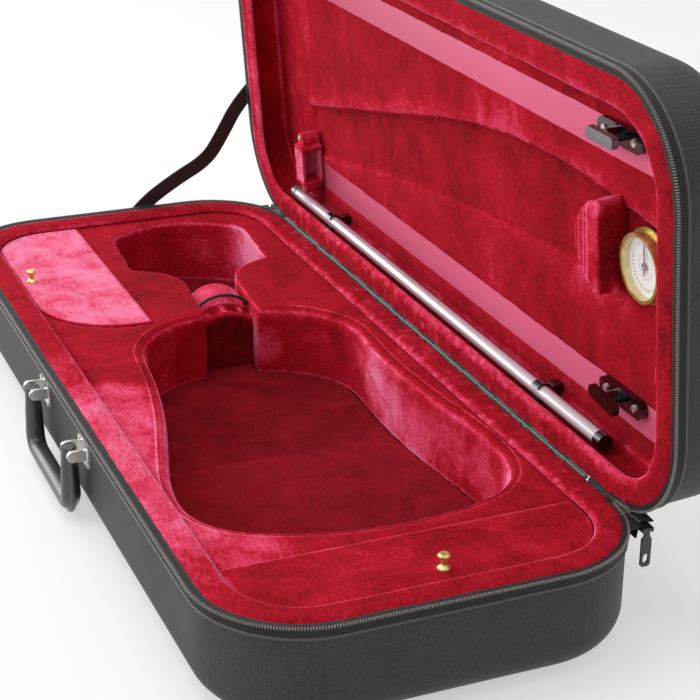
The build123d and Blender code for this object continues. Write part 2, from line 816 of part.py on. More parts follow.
def lid_from_base(part):
    """Turn a piece drawn for the base's hinge side over to the lid's."""
    return LID_TUB_PLACE * mirror(part, Plane.YZ)


# Zip ends


def zip_gussets():
    """Fabric webs from the rounded back corners out to where the zip's tapes meet."""
    reach = CASE_WIDTH / 2
    high = -VELVET_SET - GUSSET_DROP
    webs = []
    left_end = HINGE_LEFT_X - KNUCKLE_GAP
    right_end = HINGE_LEFT_X + HINGE_LENGTH + KNUCKLE_GAP
    for low, top in ((-GUSSET_END_X, left_end), (right_end, GUSSET_END_X)):
        web = slab(Pos(low, 0) * Rectangle(top - low, reach, align=Align.MIN), high - GUSSET_T, high)
        web -= slab(outline(-TAPE_T - TEETH_OUT), -BASE_HEIGHT, 0)
        webs.append(web)
    return BASE_PLACE * (Part() + webs)


def slider_y():
    return CASE_WIDTH / 2 + SLIDER_W / 2


def pull_pin_place():
    """x and height, from the rim plane, of the pin that the pull hangs from."""
    return SLIDER_X + SLIDER_L / 2 + SLIDER_EAR_L / 2, -VELVET_SET - GUSSET_DROP - SLIDER_H / 2


def along_y(radius, length):
    """A rod along Y, centred on the pull's pin."""
    x, z = pull_pin_place()
    return extrude(Plane.XZ.offset(-slider_y() - length / 2) * Pos(x, z) * Circle(radius), length)


def zip_slider():
    y = slider_y()
    high = -VELVET_SET - GUSSET_DROP
    body = box(
        (SLIDER_X - SLIDER_L / 2, SLIDER_X + SLIDER_L / 2),
        (y - SLIDER_W / 2, y + SLIDER_W / 2),
        (high - SLIDER_H, high),
    )
    body = fillet(body.edges().filter_by(Axis.Z), SLIDER_W / 5)
    for side in (-1, 1):
        inner = y + side * (PULL_NECK_W / 2 + PULL_SIDE_PLAY)
        outer = inner + side * SLIDER_EAR_T
        body += box(
            (SLIDER_X + SLIDER_L / 2 - 1, SLIDER_X + SLIDER_L / 2 + SLIDER_EAR_L),
            (min(inner, outer), max(inner, outer)),
            (high - SLIDER_H, high),
        )
    body += along_y(PULL_PIN_R, PULL_NECK_W + 2 * PULL_SIDE_PLAY)
    return BASE_PLACE * body


def zip_pull():
    """Flat tab on a rolled eye, hanging from the slider's pin, with a long hole low down."""
    y = slider_y()
    x, top = pull_pin_place()
    bottom = top - PULL_L
    blade = Pos(y, (top - PULL_NECK_L + bottom) / 2) * RectangleRounded(
        PULL_W, PULL_L - PULL_NECK_L, PULL_W / 3
    )
    neck = Pos(y, top - PULL_NECK_L / 2 - 1) * Rectangle(PULL_NECK_W, PULL_NECK_L + 2)
    hole = Pos(y, bottom + PULL_W * 0.8) * Rot(0, 0, 90) * SlotOverall(PULL_SLOT_L, PULL_SLOT_W)
    tab = extrude(Plane.YZ.offset(x - PULL_T / 2) * (blade + neck - hole), PULL_T)
    tab -= along_y(PULL_BARREL_R, 2 * PULL_W)
    tab += along_y(PULL_BARREL_R, PULL_NECK_W)
    return BASE_PLACE * (tab - along_y(PULL_PIN_R + PULL_PLAY, 2 * PULL_W))


# Strap on the left end


def strap_x():
    return -END_X - TAPE_T - TEETH_OUT - STRAP_CLEAR


def stay_strap():
    path = FilletPolyline(*STRAP_POINTS, radius=STRAP_BEND_R)
    path = Plane.YZ.offset(strap_x() - STRAP_T / 2) * path
    section = Plane(path @ 0, x_dir=(1, 0, 0), z_dir=path % 0) * Rectangle(STRAP_T, STRAP_W)
    return sweep(section, path)


def strap_anchor(at):
    """Pad that fills the space behind the strap's end, with a rivet head over the strap."""
    face = -END_X
    pad = box(
        (strap_x(), face),
        (at[0] - ANCHOR_W / 2, at[0] + ANCHOR_W / 2),
        (at[1] - ANCHOR_W / 2, at[1] + ANCHOR_W / 2),
    )
    head = extrude(
        Plane.YZ.offset(strap_x() - STRAP_T - ANCHOR_RIVET_H) * Pos(*at) * Circle(ANCHOR_RIVET_R),
        ANCHOR_RIVET_H,
    )
    return pad, head


# Lid lining and everything on it


def lining_hollow():
    hollow = slab(outline(WALL_INSET + LINER_WALL), -LINER_DEPTH, 0)
    return LID_TUB_PLACE * fillet(hollow.edges().group_by(Axis.Z)[0], LINER_ROUND)


def lid_lining():
    depth = LID_DEPTH - COVER_T - FLOOR_T
    liner = LID_TUB_PLACE * (tub(WALL_INSET, depth) - slab(outline(), -BORDER_T, 0))
    liner -= lining_hollow()
    liner -= in_lid(slab(channel_outline(), -CHANNEL_DEPTH, 1), w=LINER_DEPTH)
    for v in STRIP_V:
        liner -= in_lid(bow_strip_solid(v, STRIP_GROOVE, 0), w=LINER_DEPTH)
    return liner


def channel_outline():
    """Shallow channel in the lining over the viola's bridge and strings."""
    lower_v = [CHANNEL_LEFT_V[0], CHANNEL_MID_V[0], CHANNEL_BODY_V[0]]
    upper_v = [CHANNEL_MID_V[1], CHANNEL_BODY_V[1], CHANNEL_RIGHT_V[1]]
    return make_face(
        Curve()
        + [
            ThreePointArc(
                (CHANNEL_LEFT_X, lower_v[0]), (CHANNEL_MID_X, lower_v[1]), (CHANNEL_BODY_X, lower_v[2])
            ),
            Line((CHANNEL_BODY_X, lower_v[2]), (CHANNEL_RIGHT_X, CHANNEL_RIGHT_V[0])),
            Line((CHANNEL_RIGHT_X, CHANNEL_RIGHT_V[0]), (CHANNEL_RIGHT_X, upper_v[2])),
            ThreePointArc(
                (CHANNEL_RIGHT_X, upper_v[2]), (CHANNEL_BODY_X, upper_v[1]), (CHANNEL_MID_X, upper_v[0])
            ),
            Line((CHANNEL_MID_X, upper_v[0]), (CHANNEL_LEFT_X, CHANNEL_LEFT_V[1])),
            Line((CHANNEL_LEFT_X, CHANNEL_LEFT_V[1]), (CHANNEL_LEFT_X, CHANNEL_LEFT_V[0])),
        ]
    )


def bow_strip_solid(v, low, high):
    """Strip from the tip holder to the lid's right wall, between two depths below the lining."""
    flat = Pos(0, HINGE_Y) * outline(WALL_INSET + LINER_WALL + LINER_ROUND)
    band = Pos(HOLDER_X, v) * Rectangle(CASE_LENGTH, STRIP_W, align=(Align.MIN, Align.CENTER))
    return slab(flat & band, -low, -high)


def bow_strip(v):
    return in_lid(bow_strip_solid(v, STRIP_GROOVE, STRIP_GROOVE - STRIP_T), w=LINER_DEPTH)


def tip_holder(v):
    """Velvet block with a slot for the bow's tip, and a lobe above and below it."""
    body = box((0, HOLDER_L), (-HOLDER_SPAN / 2, HOLDER_SPAN / 2), (0, HOLDER_H))
    slot_low = (HOLDER_H - HOLDER_SLOT_H) / 2
    slot = box(
        (HOLDER_L - HOLDER_SLOT_L, HOLDER_L + 1),
        (-HOLDER_SLOT_W / 2, HOLDER_SLOT_W / 2),
        (slot_low, slot_low + HOLDER_SLOT_H),
    )
    lobes = [
        cylinder(LOBE_R, 0, LOBE_H, LOBE_R, side * (HOLDER_SPAN / 2 + LOBE_R / 2)) for side in (-1, 1)
    ]
    holder = body + lobes - slot
    holder -= slab(Pos(0, -HOLDER_V_SHIFT) * Rectangle(2 * CASE_LENGTH, STRIP_W), -1, 0)
    return in_lid(holder, HOLDER_X, v + HOLDER_V_SHIFT, LINER_DEPTH)


def tip_holder_screws():
    heads = []
    for v in STRIP_V:
        for side in (-1, 1):
            at_v = v + HOLDER_V_SHIFT + side * (HOLDER_SPAN / 2 + LOBE_R)
            head = cylinder(LOBE_SCREW_R, 0, LOBE_SCREW_H)
            heads.append(in_lid(head, HOLDER_X + LOBE_R, at_v, LINER_DEPTH - LOBE_H))
    return Part() + heads


def bow_clip_bases():
    """Screwed plates, each with a round boss that carries the turning bar."""
    bases = []
    for v in STRIP_V:
        plate = slab(SlotOverall(CLIP_L, CLIP_W), 0, CLIP_BASE_H)
        boss = cylinder(CLIP_BOSS_R, 0, CLIP_BASE_H + CLIP_BOSS_H, CLIP_POST_X)
        bore = cylinder(CLIP_POST_R + CLIP_POST_PLAY, CLIP_BASE_H, 2 * CLIP_L, CLIP_POST_X)
        base = plate + boss - bore
        bases.append(in_lid(base, CLIP_X, v + CLIP_V_SHIFT, LINER_DEPTH))
    return Part() + bases


def bow_clip_bar(number):
    """Grey bar on a post, which turns over the bow's stick."""
    low = CLIP_BASE_H + CLIP_BOSS_H + CLIP_BAR_PLAY
    bar = slab(RectangleRounded(CLIP_BAR_L, CLIP_BAR_W, CLIP_BAR_W / 3), low, low + CLIP_BAR_T)
    post = cylinder(CLIP_POST_R, CLIP_BASE_H + CLIP_BAR_PLAY, low)
    turned = Rot(0, 0, CLIP_BAR_TURN[number]) * (bar + post)
    v = STRIP_V[number] + CLIP_V_SHIFT
    return in_lid(turned, CLIP_X + CLIP_POST_X, v, LINER_DEPTH)


def bow_clip_screws():
    heads = []
    for v in STRIP_V:
        for side in (-1, 1):
            head = cylinder(CLIP_SCREW_R, 0, CLIP_SCREW_H)
            x = CLIP_X + side * CLIP_SCREW_SPREAD / 2
            heads.append(in_lid(head, x, v + CLIP_V_SHIFT, LINER_DEPTH - CLIP_BASE_H))
    return Part() + heads


# String tube: drawn along X at the tube's own axis


def along_x(radius, start, end):
    return extrude(Plane.YZ.offset(start) * Circle(radius), end - start)


def on_tube(part, x=TUBE_X):
    return in_lid(part, x, TUBE_V, TUBE_W)


def string_tube():
    half = TUBE_L / 2
    return on_tube(along_x(TUBE_R, -half, half) - along_x(TUBE_BORE_R, -half - 1, half + 1))


def tube_cap(side):
    """Cap over the tube's end, with a plug in its bore."""
    end = TUBE_L / 2
    play = TUBE_PLUG_PLAY if side > 0 else 0
    cap = along_x(TUBE_CAP_R, end, end + TUBE_CAP_L)
    cap += along_x(TUBE_BORE_R - play, end - TUBE_PLUG_L, end)
    if side < 0:
        cap = mirror(cap, Plane.YZ)
    return on_tube(cap)


def tube_clamps():
    """Sprung C clips that the tube snaps into, on feet from the lining."""
    inner = TUBE_R + CLAMP_PLAY
    outer = inner + CLAMP_T
    ring = Circle(outer) - Circle(inner)
    ring -= Pos(0, outer) * Rectangle(CLAMP_MOUTH, 2 * outer)
    foot_depth = LINER_DEPTH - TUBE_W
    foot = Pos(0, -(inner + foot_depth) / 2) * Rectangle(CLAMP_FOOT_W, foot_depth - inner)
    profile = ring + (foot - Circle(inner))
    made = []
    for x in CLAMP_X:
        clamp = extrude(Plane.YZ.offset(-CLAMP_L / 2) * profile, CLAMP_L)
        made.append(on_tube(clamp, x))
    return (Part() + made) & lining_hollow()


# Neck pad and hygrometer


def neck_pad():
    """Half-round velvet block, its flat side to the body end."""
    plan = Circle(PAD_R) & Pos(-PAD_R, 0) * Rectangle(2 * PAD_R, 2 * PAD_R)
    block = slab(plan, CHANNEL_DEPTH, PAD_H)
    block = fillet(block.edges().group_by(Axis.Z)[-1], PAD_ROUND)
    foot = plan & Pos(-PAD_FACE_X, -PAD_V) * channel_outline()
    return in_lid(block + slab(foot, 0, CHANNEL_DEPTH), PAD_FACE_X, PAD_V, CHANNEL_FLOOR)


def meter_x():
    """The meter stands clear of the pad's flat side."""
    return max(END_X - METER_SET, PAD_FACE_X + METER_FLANGE_R + METER_PAD_CLEAR)


def on_meter(part):
    return in_lid(part, meter_x(), METER_V, CHANNEL_FLOOR)


def hygrometer_housing():
    cup = cylinder(METER_R, 0, METER_H) + cylinder(METER_FLANGE_R, 0, METER_FLANGE_T)
    return on_meter(cup - cylinder(METER_R - METER_RIM, METER_H - METER_RECESS, METER_H + 1))


def dial_height():
    return METER_H - METER_RECESS + DIAL_T


def hygrometer_dial():
    top = dial_height()
    disc = cylinder(METER_R - METER_RIM, METER_H - METER_RECESS, top)
    spindle = cylinder(NEEDLE_SPINDLE_R, top, top + NEEDLE_LIFT + 2 * NEEDLE_T)
    return on_meter(disc + spindle)


def hygrometer_needle():
    low = dial_height() + NEEDLE_LIFT
    hub = cylinder(NEEDLE_HUB_R, low, low + NEEDLE_T)
    hand = box((-NEEDLE_W / 2, NEEDLE_W / 2), (-NEEDLE_TAIL, NEEDLE_L), (low, low + NEEDLE_T))
    bore = cylinder(NEEDLE_SPINDLE_R + NEEDLE_PLAY, 0, METER_H)
    return on_meter(hub + hand - bore)


def hygrometer_glass():
    high = METER_H - GLASS_SET
    return on_meter(cylinder(METER_R - METER_RIM, high - GLASS_T, high))


def add(name, solid):
    parts[name] = solid


add("base_shell", base_shell())
add("base_cover", base_cover())
add("base_bottom_panel", BASE_PLACE * half_panel(BASE_HEIGHT))
add("base_piping", BASE_PLACE * half_piping())
add("base_zip_tape", BASE_PLACE * half_zip_tape())
add("base_zip_teeth", BASE_PLACE * half_zip_teeth())
add("base_rim_border", BASE_PLACE * half_border())
add("suspension_block", suspension_block())
add("cavity_floor_pad", cavity_floor_pad())
add("neck_rest", neck_rest())
add("neck_cord", neck_cord())
add("left_pocket_lid", pocket_lid(left_lid_outline, LEFT_KNOB))
add("left_pocket_knob", knob(LEFT_KNOB))
add("right_pocket_lid", pocket_lid(right_lid_outline, RIGHT_KNOB))
add("right_pocket_knob", knob(RIGHT_KNOB))
add("handle_grip", handle_grip())
add("handle_brackets", handle_brackets())
add("handle_pins", handle_pins())
add("handle_rivets", handle_rivets())
add("handle_backing_plates", handle_backing_plates())
add("hinge_leaf_base", BASE_PLACE * hinge_leaf(0))
add("hinge_leaf_lid", lid_from_base(hinge_leaf(1)))
add("hinge_pin", hinge_pin())
add("hinge_rivets_base", BASE_PLACE * hinge_rivets())
add("hinge_rivets_lid", lid_from_base(hinge_rivets()))
add("zip_gussets", zip_gussets())
add("zip_slider", zip_slider())
add("zip_pull", zip_pull())
add("stay_strap", stay_strap())
base_pad, base_head = strap_anchor(STRAP_POINTS[0])
lid_pad, lid_head = strap_anchor(STRAP_POINTS[-1])
add("strap_anchor_base", base_pad + base_head)
add("strap_anchor_lid", lid_pad + lid_head)
add("lid_shell", LID_TUB_PLACE * half_shell(LID_DEPTH))
add("lid_cover", LID_TUB_PLACE * half_cover(LID_DEPTH))
add("lid_top_panel", LID_TUB_PLACE * half_panel(LID_DEPTH))
add("lid_piping", LID_TUB_PLACE * half_piping())
add("lid_zip_tape", LID_TUB_PLACE * half_zip_tape())
add("lid_zip_teeth", LID_TUB_PLACE * half_zip_teeth())
add("lid_rim_border", LID_TUB_PLACE * half_border())
add("lid_lining", lid_lining())
for name, v in zip(("lower", "upper"), STRIP_V):
    add(f"bow_strip_{name}", bow_strip(v))
    add(f"bow_tip_holder_{name}", tip_holder(v))
add("bow_tip_holder_screws", tip_holder_screws())
add("bow_clip_bases", bow_clip_bases())
add("bow_clip_screws", bow_clip_screws())
add("bow_clip_bar_lower", bow_clip_bar(0))
add("bow_clip_bar_upper", bow_clip_bar(1))
add("string_tube", string_tube())
add("tube_cap_fixed", tube_cap(-1))
add("tube_cap_loose", tube_cap(1))
add("tube_clamps", tube_clamps())
add("neck_pad", neck_pad())
add("hygrometer_housing", hygrometer_housing())
add("hygrometer_dial", hygrometer_dial())
add("hygrometer_needle", hygrometer_needle())
add("hygrometer_glass", hygrometer_glass())

os.makedirs("parts", exist_ok=True)
for name, solid in parts.items():
    export_step(solid, f"parts/{name}.step")
print(len(parts), "nodes written")
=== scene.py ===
import json
import math

import bmesh
import bpy
import numpy as np
from mathutils import Matrix, Vector, noise
from mathutils.kdtree import KDTree


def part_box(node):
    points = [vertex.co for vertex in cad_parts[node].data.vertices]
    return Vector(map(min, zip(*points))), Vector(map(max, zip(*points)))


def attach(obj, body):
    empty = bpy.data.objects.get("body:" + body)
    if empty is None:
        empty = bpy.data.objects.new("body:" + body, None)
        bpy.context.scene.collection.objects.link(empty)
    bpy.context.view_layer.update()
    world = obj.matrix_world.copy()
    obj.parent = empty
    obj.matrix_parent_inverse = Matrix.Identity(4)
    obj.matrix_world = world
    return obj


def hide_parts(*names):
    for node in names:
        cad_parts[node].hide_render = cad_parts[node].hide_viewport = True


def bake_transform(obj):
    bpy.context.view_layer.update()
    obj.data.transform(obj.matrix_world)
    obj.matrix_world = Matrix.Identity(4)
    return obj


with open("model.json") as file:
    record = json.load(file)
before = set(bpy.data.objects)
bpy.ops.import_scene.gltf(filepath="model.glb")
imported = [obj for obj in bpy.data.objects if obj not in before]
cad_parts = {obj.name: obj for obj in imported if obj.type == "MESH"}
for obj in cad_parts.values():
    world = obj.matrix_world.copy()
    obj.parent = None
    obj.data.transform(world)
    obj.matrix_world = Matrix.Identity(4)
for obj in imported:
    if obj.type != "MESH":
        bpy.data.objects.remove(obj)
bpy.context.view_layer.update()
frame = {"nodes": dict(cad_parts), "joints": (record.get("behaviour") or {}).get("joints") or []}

# Camera: it looks down from in front of the case's right end, at the photograph's own angle. Its place
# and turn come from a perspective fit to the case's straight edges, in a picture 700 pixels wide.
CAMERA_PLACE = Vector((1.3120, -0.45505, 0.6824))
CAMERA_AZIMUTH = math.radians(22.7375)
CAMERA_PITCH = math.radians(23.1742)
CAMERA_ROLL = math.radians(-0.4679)
PICTURE_WIDTH = 700
FOCAL_PIXELS = 1823.62
SENSOR = 36.0



def linked(name, data):
    """A new object in the scene that holds some data."""
    made = bpy.data.objects.new(name, data)
    bpy.context.collection.objects.link(made)
    return made


camera = linked("camera", bpy.data.cameras.new("camera"))
bpy.context.scene.camera = camera
camera.data.sensor_width = SENSOR
camera.data.lens = SENSOR * FOCAL_PIXELS / PICTURE_WIDTH
forward = Vector((
    -math.cos(CAMERA_PITCH) * math.cos(CAMERA_AZIMUTH),
    math.cos(CAMERA_PITCH) * math.sin(CAMERA_AZIMUTH),
    -math.sin(CAMERA_PITCH),
))
level = Vector((math.sin(CAMERA_AZIMUTH), math.cos(CAMERA_AZIMUTH), 0))
down = forward.cross(level)
right = math.cos(CAMERA_ROLL) * level + math.sin(CAMERA_ROLL) * down
down = forward.cross(right)
turned = Matrix((right, -down, -forward)).transposed().to_4x4()
camera.matrix_world = Matrix.Translation(CAMERA_PLACE) @ turned


# Stage: a plain pale floor that reads as white to the camera and to shiny parts, and takes the shadow.
# Soft studio lamps and a pale surround light the case.
FLOOR_SIZE = 40.0
FLOOR_Z = -0.0006
FLOOR_COLOUR = "#F4F2F0"
FLOOR_GLOW = 0.5
SURROUND_COLOUR = "#FFFFFF"
SURROUND_STRENGTH = 0.6
# Each lamp's name, place, the point it faces, its side in metres and its power in watts.
LAMPS = [
    ("overhead softbox", (-0.2, -0.3, 2.4), (0, 0, 0), 2.0, 22.0),
    ("front softbox", (-0.7, -2.7, 1.5), (0, 0, 0.15), 1.8, 38.0),
    ("left softbox", (-2.3, -1.0, 0.8), (0, 0.1, 0.1), 1.3, 22.0),
]


def srgb(code):
    """A colour given as #RRGGBB, as linear values."""
    values = [int(code[i:i + 2], 16) / 255 for i in (1, 3, 5)]
    return tuple(v / 12.92 if v <= 0.04045 else ((v + 0.055) / 1.055) ** 2.4 for v in values) + (1.0,)


def add(tree, kind, inputs=None, **settings):
    """Add a shader node; each input is a value or another node's output."""
    made = tree.nodes.new("ShaderNode" + kind)
    for name, value in settings.items():
        setattr(made, name, value)
    for name, value in (inputs or {}).items():
        if isinstance(value, bpy.types.NodeSocket):
            tree.links.new(value, made.inputs[name])
        else:
            made.inputs[name].default_value = value
    return made


def alone(piece):
    """Select one piece and nothing else."""
    bpy.ops.object.select_all(action="DESELECT")
    piece.select_set(True)
    bpy.context.view_layer.objects.active = piece


bpy.ops.object.select_all(action="DESELECT")
bpy.ops.mesh.primitive_plane_add(size=FLOOR_SIZE, location=(0, 0, FLOOR_Z))
floor = bpy.context.active_object
floor.name = "floor"
material = bpy.data.materials.new("white studio floor")
material.use_nodes = True
tree = material.node_tree
tree.nodes.clear()
path = add(tree, "LightPath")
mirrored = add(tree, "Math",
               {0: path.outputs["Is Glossy Ray"], 1: path.outputs["Is Transmission Ray"]},
               operation="MAXIMUM")
seen = add(tree, "Math", {0: path.outputs["Is Camera Ray"], 1: FLOOR_GLOW, 2: mirrored.outputs[0]},
           operation="MULTIPLY_ADD")
matt = add(tree, "BsdfDiffuse", {"Color": srgb(FLOOR_COLOUR)})
white = add(tree, "Emission", {"Color": srgb(SURROUND_COLOUR), "Strength": 1.0})
either = add(tree, "MixShader", {0: seen.outputs[0], 1: matt.outputs[0], 2: white.outputs[0]})
add(tree, "OutputMaterial", {0: either.outputs[0]})
floor.data.materials.append(material)

world = bpy.data.worlds.new("studio surround")
bpy.context.scene.world = world
world.use_nodes = True
tree = world.node_tree
tree.nodes.clear()
path = add(tree, "LightPath")
straight = add(tree, "Math",
               {0: path.outputs["Is Camera Ray"], 1: path.outputs["Is Transmission Ray"]},
               operation="MAXIMUM")
direct = add(tree, "Math", {0: straight.outputs[0], 1: path.outputs["Is Glossy Ray"]},
             operation="MAXIMUM")
soft = add(tree, "Background", {0: srgb(SURROUND_COLOUR), 1: SURROUND_STRENGTH})
bright = add(tree, "Background", {0: srgb(SURROUND_COLOUR), 1: 1.0})
both = add(tree, "MixShader", {0: direct.outputs[0], 1: soft.outputs[0], 2: bright.outputs[0]})
add(tree, "OutputWorld", {0: both.outputs[0]})

for name, place, target, size, power in LAMPS:
    light = bpy.data.lights.new(name, "AREA")
    light.size = size
    light.energy = power
    lamp = linked(name, light)
    lamp.location = place
    lamp.rotation_euler = (Vector(target) - Vector(place)).to_track_quat("-Z", "Y").to_euler()
bpy.context.scene.view_settings.view_transform = "Standard"


# Cover of each half: one tub of woven nylon glued over the ply shell, with a separate flat panel sewn
# in at the bottom. Made as a block with its corners rounded, opened at the rim and given its thickness.
MM = 0.001
hinge = next(j for j in frame["joints"] if j["name"] == "lid_hinge")
HINGE = Vector(hinge["pos_m"])
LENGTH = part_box("base_cover")[1].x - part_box("base_cover")[0].x
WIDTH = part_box("base_cover")[1].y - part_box("base_cover")[0].y
LID_DEPTH = 62 * MM
CORNER_R = 78 * MM
EDGE_R = 24 * MM
RIM_SET = 1.5 * MM
COVER_T = 1.2 * MM
PANEL_MARGIN = 4 * MM
OPEN_ANGLE = math.radians(-hinge["range_deg"][0])
NYLON_DARK = "#242121"
NYLON_LIGHT = "#403C3B"
THREAD_MM = 1.8
CLOTH_CLOUD_MM = 71.43
CORNER_STEPS = 28
EDGE_STEPS = 10
NEAR = 0.1 * MM
LARGE_FACE = 0.05

ON_HINGE = Matrix.Translation((0, HINGE.y, HINGE.z)) @ Matrix.Rotation(math.pi - OPEN_ANGLE, 4, "X")
HALF = {
    "base": (Matrix.Translation((0, 0, HINGE.z)), HINGE.z),
    "lid": (ON_HINGE @ Matrix.Translation((0, HINGE.y, 0)) @ Matrix.Rotation(math.pi, 4, "Z"), LID_DEPTH),
}


def choose(piece, mode, test):
    """In edit mode, select only the vertices, edges or faces that pass a test."""
    bpy.ops.mesh.select_mode(type=mode)
    bpy.ops.mesh.select_all(action="DESELECT")
    mesh = bmesh.from_edit_mesh(piece.data)
    group = {"VERT": mesh.verts, "EDGE": mesh.edges, "FACE": mesh.faces}[mode]
    for item in group:
        if test(item):
            item.select_set(True)
    mesh.select_flush_mode()
    bmesh.update_edit_mesh(piece.data)


def middle(edge):
    """The point halfway along an edge."""
    return (edge.verts[0].co + edge.verts[1].co) / 2


def upright(edge):
    """Whether an edge runs straight up the case."""
    way = edge.verts[0].co - edge.verts[1].co
    return abs(way.z) > 10 * Vector(way[:2]).length


def apply_new(piece, kind, **settings):
    """Add a modifier to a piece and apply it."""
    modifier = piece.modifiers.new(kind.lower(), kind)
    for name, value in settings.items():
        setattr(modifier, name, value)
    alone(piece)
    bpy.ops.object.modifier_apply(modifier=modifier.name)


def block(name, half_x, half_y, low, high):
    """A box between two heights, centred on the case, with its place in its mesh."""
    bpy.ops.object.select_all(action="DESELECT")
    bpy.ops.mesh.primitive_cube_add(size=1, location=(0, 0, (low + high) / 2),
                                    scale=(2 * half_x, 2 * half_y, high - low))
    piece = bpy.context.active_object
    piece.name = name
    bpy.ops.object.transform_apply(location=True, rotation=True, scale=True)
    return piece


def finish_piece(piece, body, place=None, smooth=40.0):
    """Move a piece's mesh to its place, smooth it and let it ride on its body."""
    if place is not None:
        piece.data.transform(place)
    alone(piece)
    bpy.ops.object.shade_smooth_by_angle(angle=math.radians(smooth))
    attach(piece, body)


def principled(name, inputs=None):
    """A material with a Principled shader set to some inputs: the material, its tree and the shader."""
    material = bpy.data.materials.new(name)
    material.use_nodes = True
    material.node_tree.nodes.clear()
    shader = add(material.node_tree, "BsdfPrincipled", inputs)
    add(material.node_tree, "OutputMaterial", {0: shader.outputs[0]})
    return material, material.node_tree, shader


def mapped(tree, size_mm, turn=(0, 0, 0)):
    """A piece's own coordinates, scaled to a pattern's size in millimetres: one for all axes, or three."""
    sizes = size_mm if isinstance(size_mm, tuple) else (size_mm,) * 3
    scale = tuple(1000 / size for size in sizes)
    place = add(tree, "TexCoord")
    return add(tree, "Mapping", {0: place.outputs["Object"], 2: turn, 3: scale}).outputs[0]


def woven_nylon(name, dark, light, thread_mm):
    """Woven nylon: crossed threads, drawn coarser than life so that they show, under a dull haze."""
    material, tree, shader = principled(name, {"Roughness": 0.62, "Specular IOR Level": 0.32})
    place = mapped(tree, thread_mm * 10 / math.pi)
    crossing = [
        add(tree, "TexWave", {"Vector": place, "Scale": 1.0, "Distortion": 1.5, "Detail": 1.0,
                              "Detail Scale": 0.3}, bands_direction=way)
        for way in ("X", "Y", "Z")
    ]
    pair = add(tree, "Math", {0: crossing[0].outputs["Fac"], 1: crossing[1].outputs["Fac"]},
               operation="MULTIPLY")
    weave = add(tree, "Math", {0: pair.outputs[0], 1: crossing[2].outputs["Fac"]}, operation="MULTIPLY")
    fleck = add(tree, "TexNoise", {"Vector": mapped(tree, thread_mm), "Scale": 1.0,
                                   "Detail": 2.0, "Roughness": 0.7})
    cloud = add(tree, "TexNoise", {"Vector": mapped(tree, CLOTH_CLOUD_MM), "Scale": 1.0, "Detail": 4.0})
    mixed = add(tree, "Math", {0: weave.outputs[0], 1: 0.5, 2: fleck.outputs["Fac"]},
                operation="MULTIPLY_ADD")
    spread = add(tree, "Math", {0: cloud.outputs["Fac"], 1: 0.5, 2: mixed.outputs[0]},
                 operation="MULTIPLY_ADD")
    ramp = add(tree, "ValToRGB", {0: spread.outputs[0]})
    ramp.color_ramp.elements[0].position = 0.45
    ramp.color_ramp.elements[0].color = srgb(dark)
    ramp.color_ramp.elements[1].position = 1.0
    ramp.color_ramp.elements[1].color = srgb(light)
    tree.links.new(ramp.outputs[0], shader.inputs["Base Color"])
    bump = add(tree, "Bump", {"Height": mixed.outputs[0], "Strength": 0.3, "Distance": 0.0005})
    tree.links.new(bump.outputs[0], shader.inputs["Normal"])
    return material


# Nylon cloth reads as dull charcoal, with a fine grey weave and no highlight.
cover_nylon = woven_nylon("woven nylon cloth", NYLON_DARK, NYLON_LIGHT, THREAD_MM)

for half, (place, depth) in HALF.items():
    cover = block(f"{half}_woven_cover", LENGTH / 2, WIDTH / 2, -depth, -RIM_SET)
    bpy.ops.object.mode_set(mode="EDIT")
    choose(cover, "FACE", lambda face: face.normal.z > 0.9)
    bpy.ops.mesh.delete(type="ONLY_FACE")
    choose(cover, "EDGE", upright)
    bpy.ops.mesh.bevel(offset=CORNER_R, segments=CORNER_STEPS, affect="EDGES")
    choose(cover, "EDGE", lambda edge: middle(edge).z < -depth + NEAR)
    bpy.ops.mesh.bevel(offset=EDGE_R, segments=EDGE_STEPS, affect="EDGES")
    choose(cover, "FACE", lambda face: face.normal.z < -0.999 and face.calc_area() > LARGE_FACE)
    bpy.ops.mesh.inset(thickness=PANEL_MARGIN, depth=0)
    choose(cover, "FACE", lambda face: face.normal.z < -0.999 and face.calc_area() > LARGE_FACE)
    bpy.ops.mesh.delete(type="FACE")
    bpy.ops.object.mode_set(mode="OBJECT")
    apply_new(cover, "SOLIDIFY", thickness=COVER_T, offset=-1)
    finish_piece(cover, half, place)
    cover.data.materials.append(cover_nylon)
    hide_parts(f"{half}_cover")

    inset = EDGE_R + PANEL_MARGIN - 0.4 * MM
    panel = block(f"{half}_flat_panel", LENGTH / 2 - inset, WIDTH / 2 - inset, -depth, -depth + COVER_T)
    bpy.ops.object.mode_set(mode="EDIT")
    choose(panel, "EDGE", upright)
    bpy.ops.mesh.bevel(offset=CORNER_R - inset, segments=20, affect="EDGES")
    choose(panel, "FACE", lambda face: face.normal.z < -0.99)
    bpy.ops.mesh.inset(thickness=1.5 * MM, depth=0.5 * MM)
    bpy.ops.mesh.inset(thickness=4 * MM, depth=0)
    bpy.ops.mesh.inset(thickness=0.8 * MM, depth=-0.5 * MM)
    bpy.ops.mesh.inset(thickness=0.8 * MM, depth=0.5 * MM)
    bpy.ops.object.mode_set(mode="OBJECT")
    finish_piece(panel, half, place)
    panel.data.materials.append(cover_nylon)
    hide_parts("base_bottom_panel" if half == "base" else "lid_top_panel")


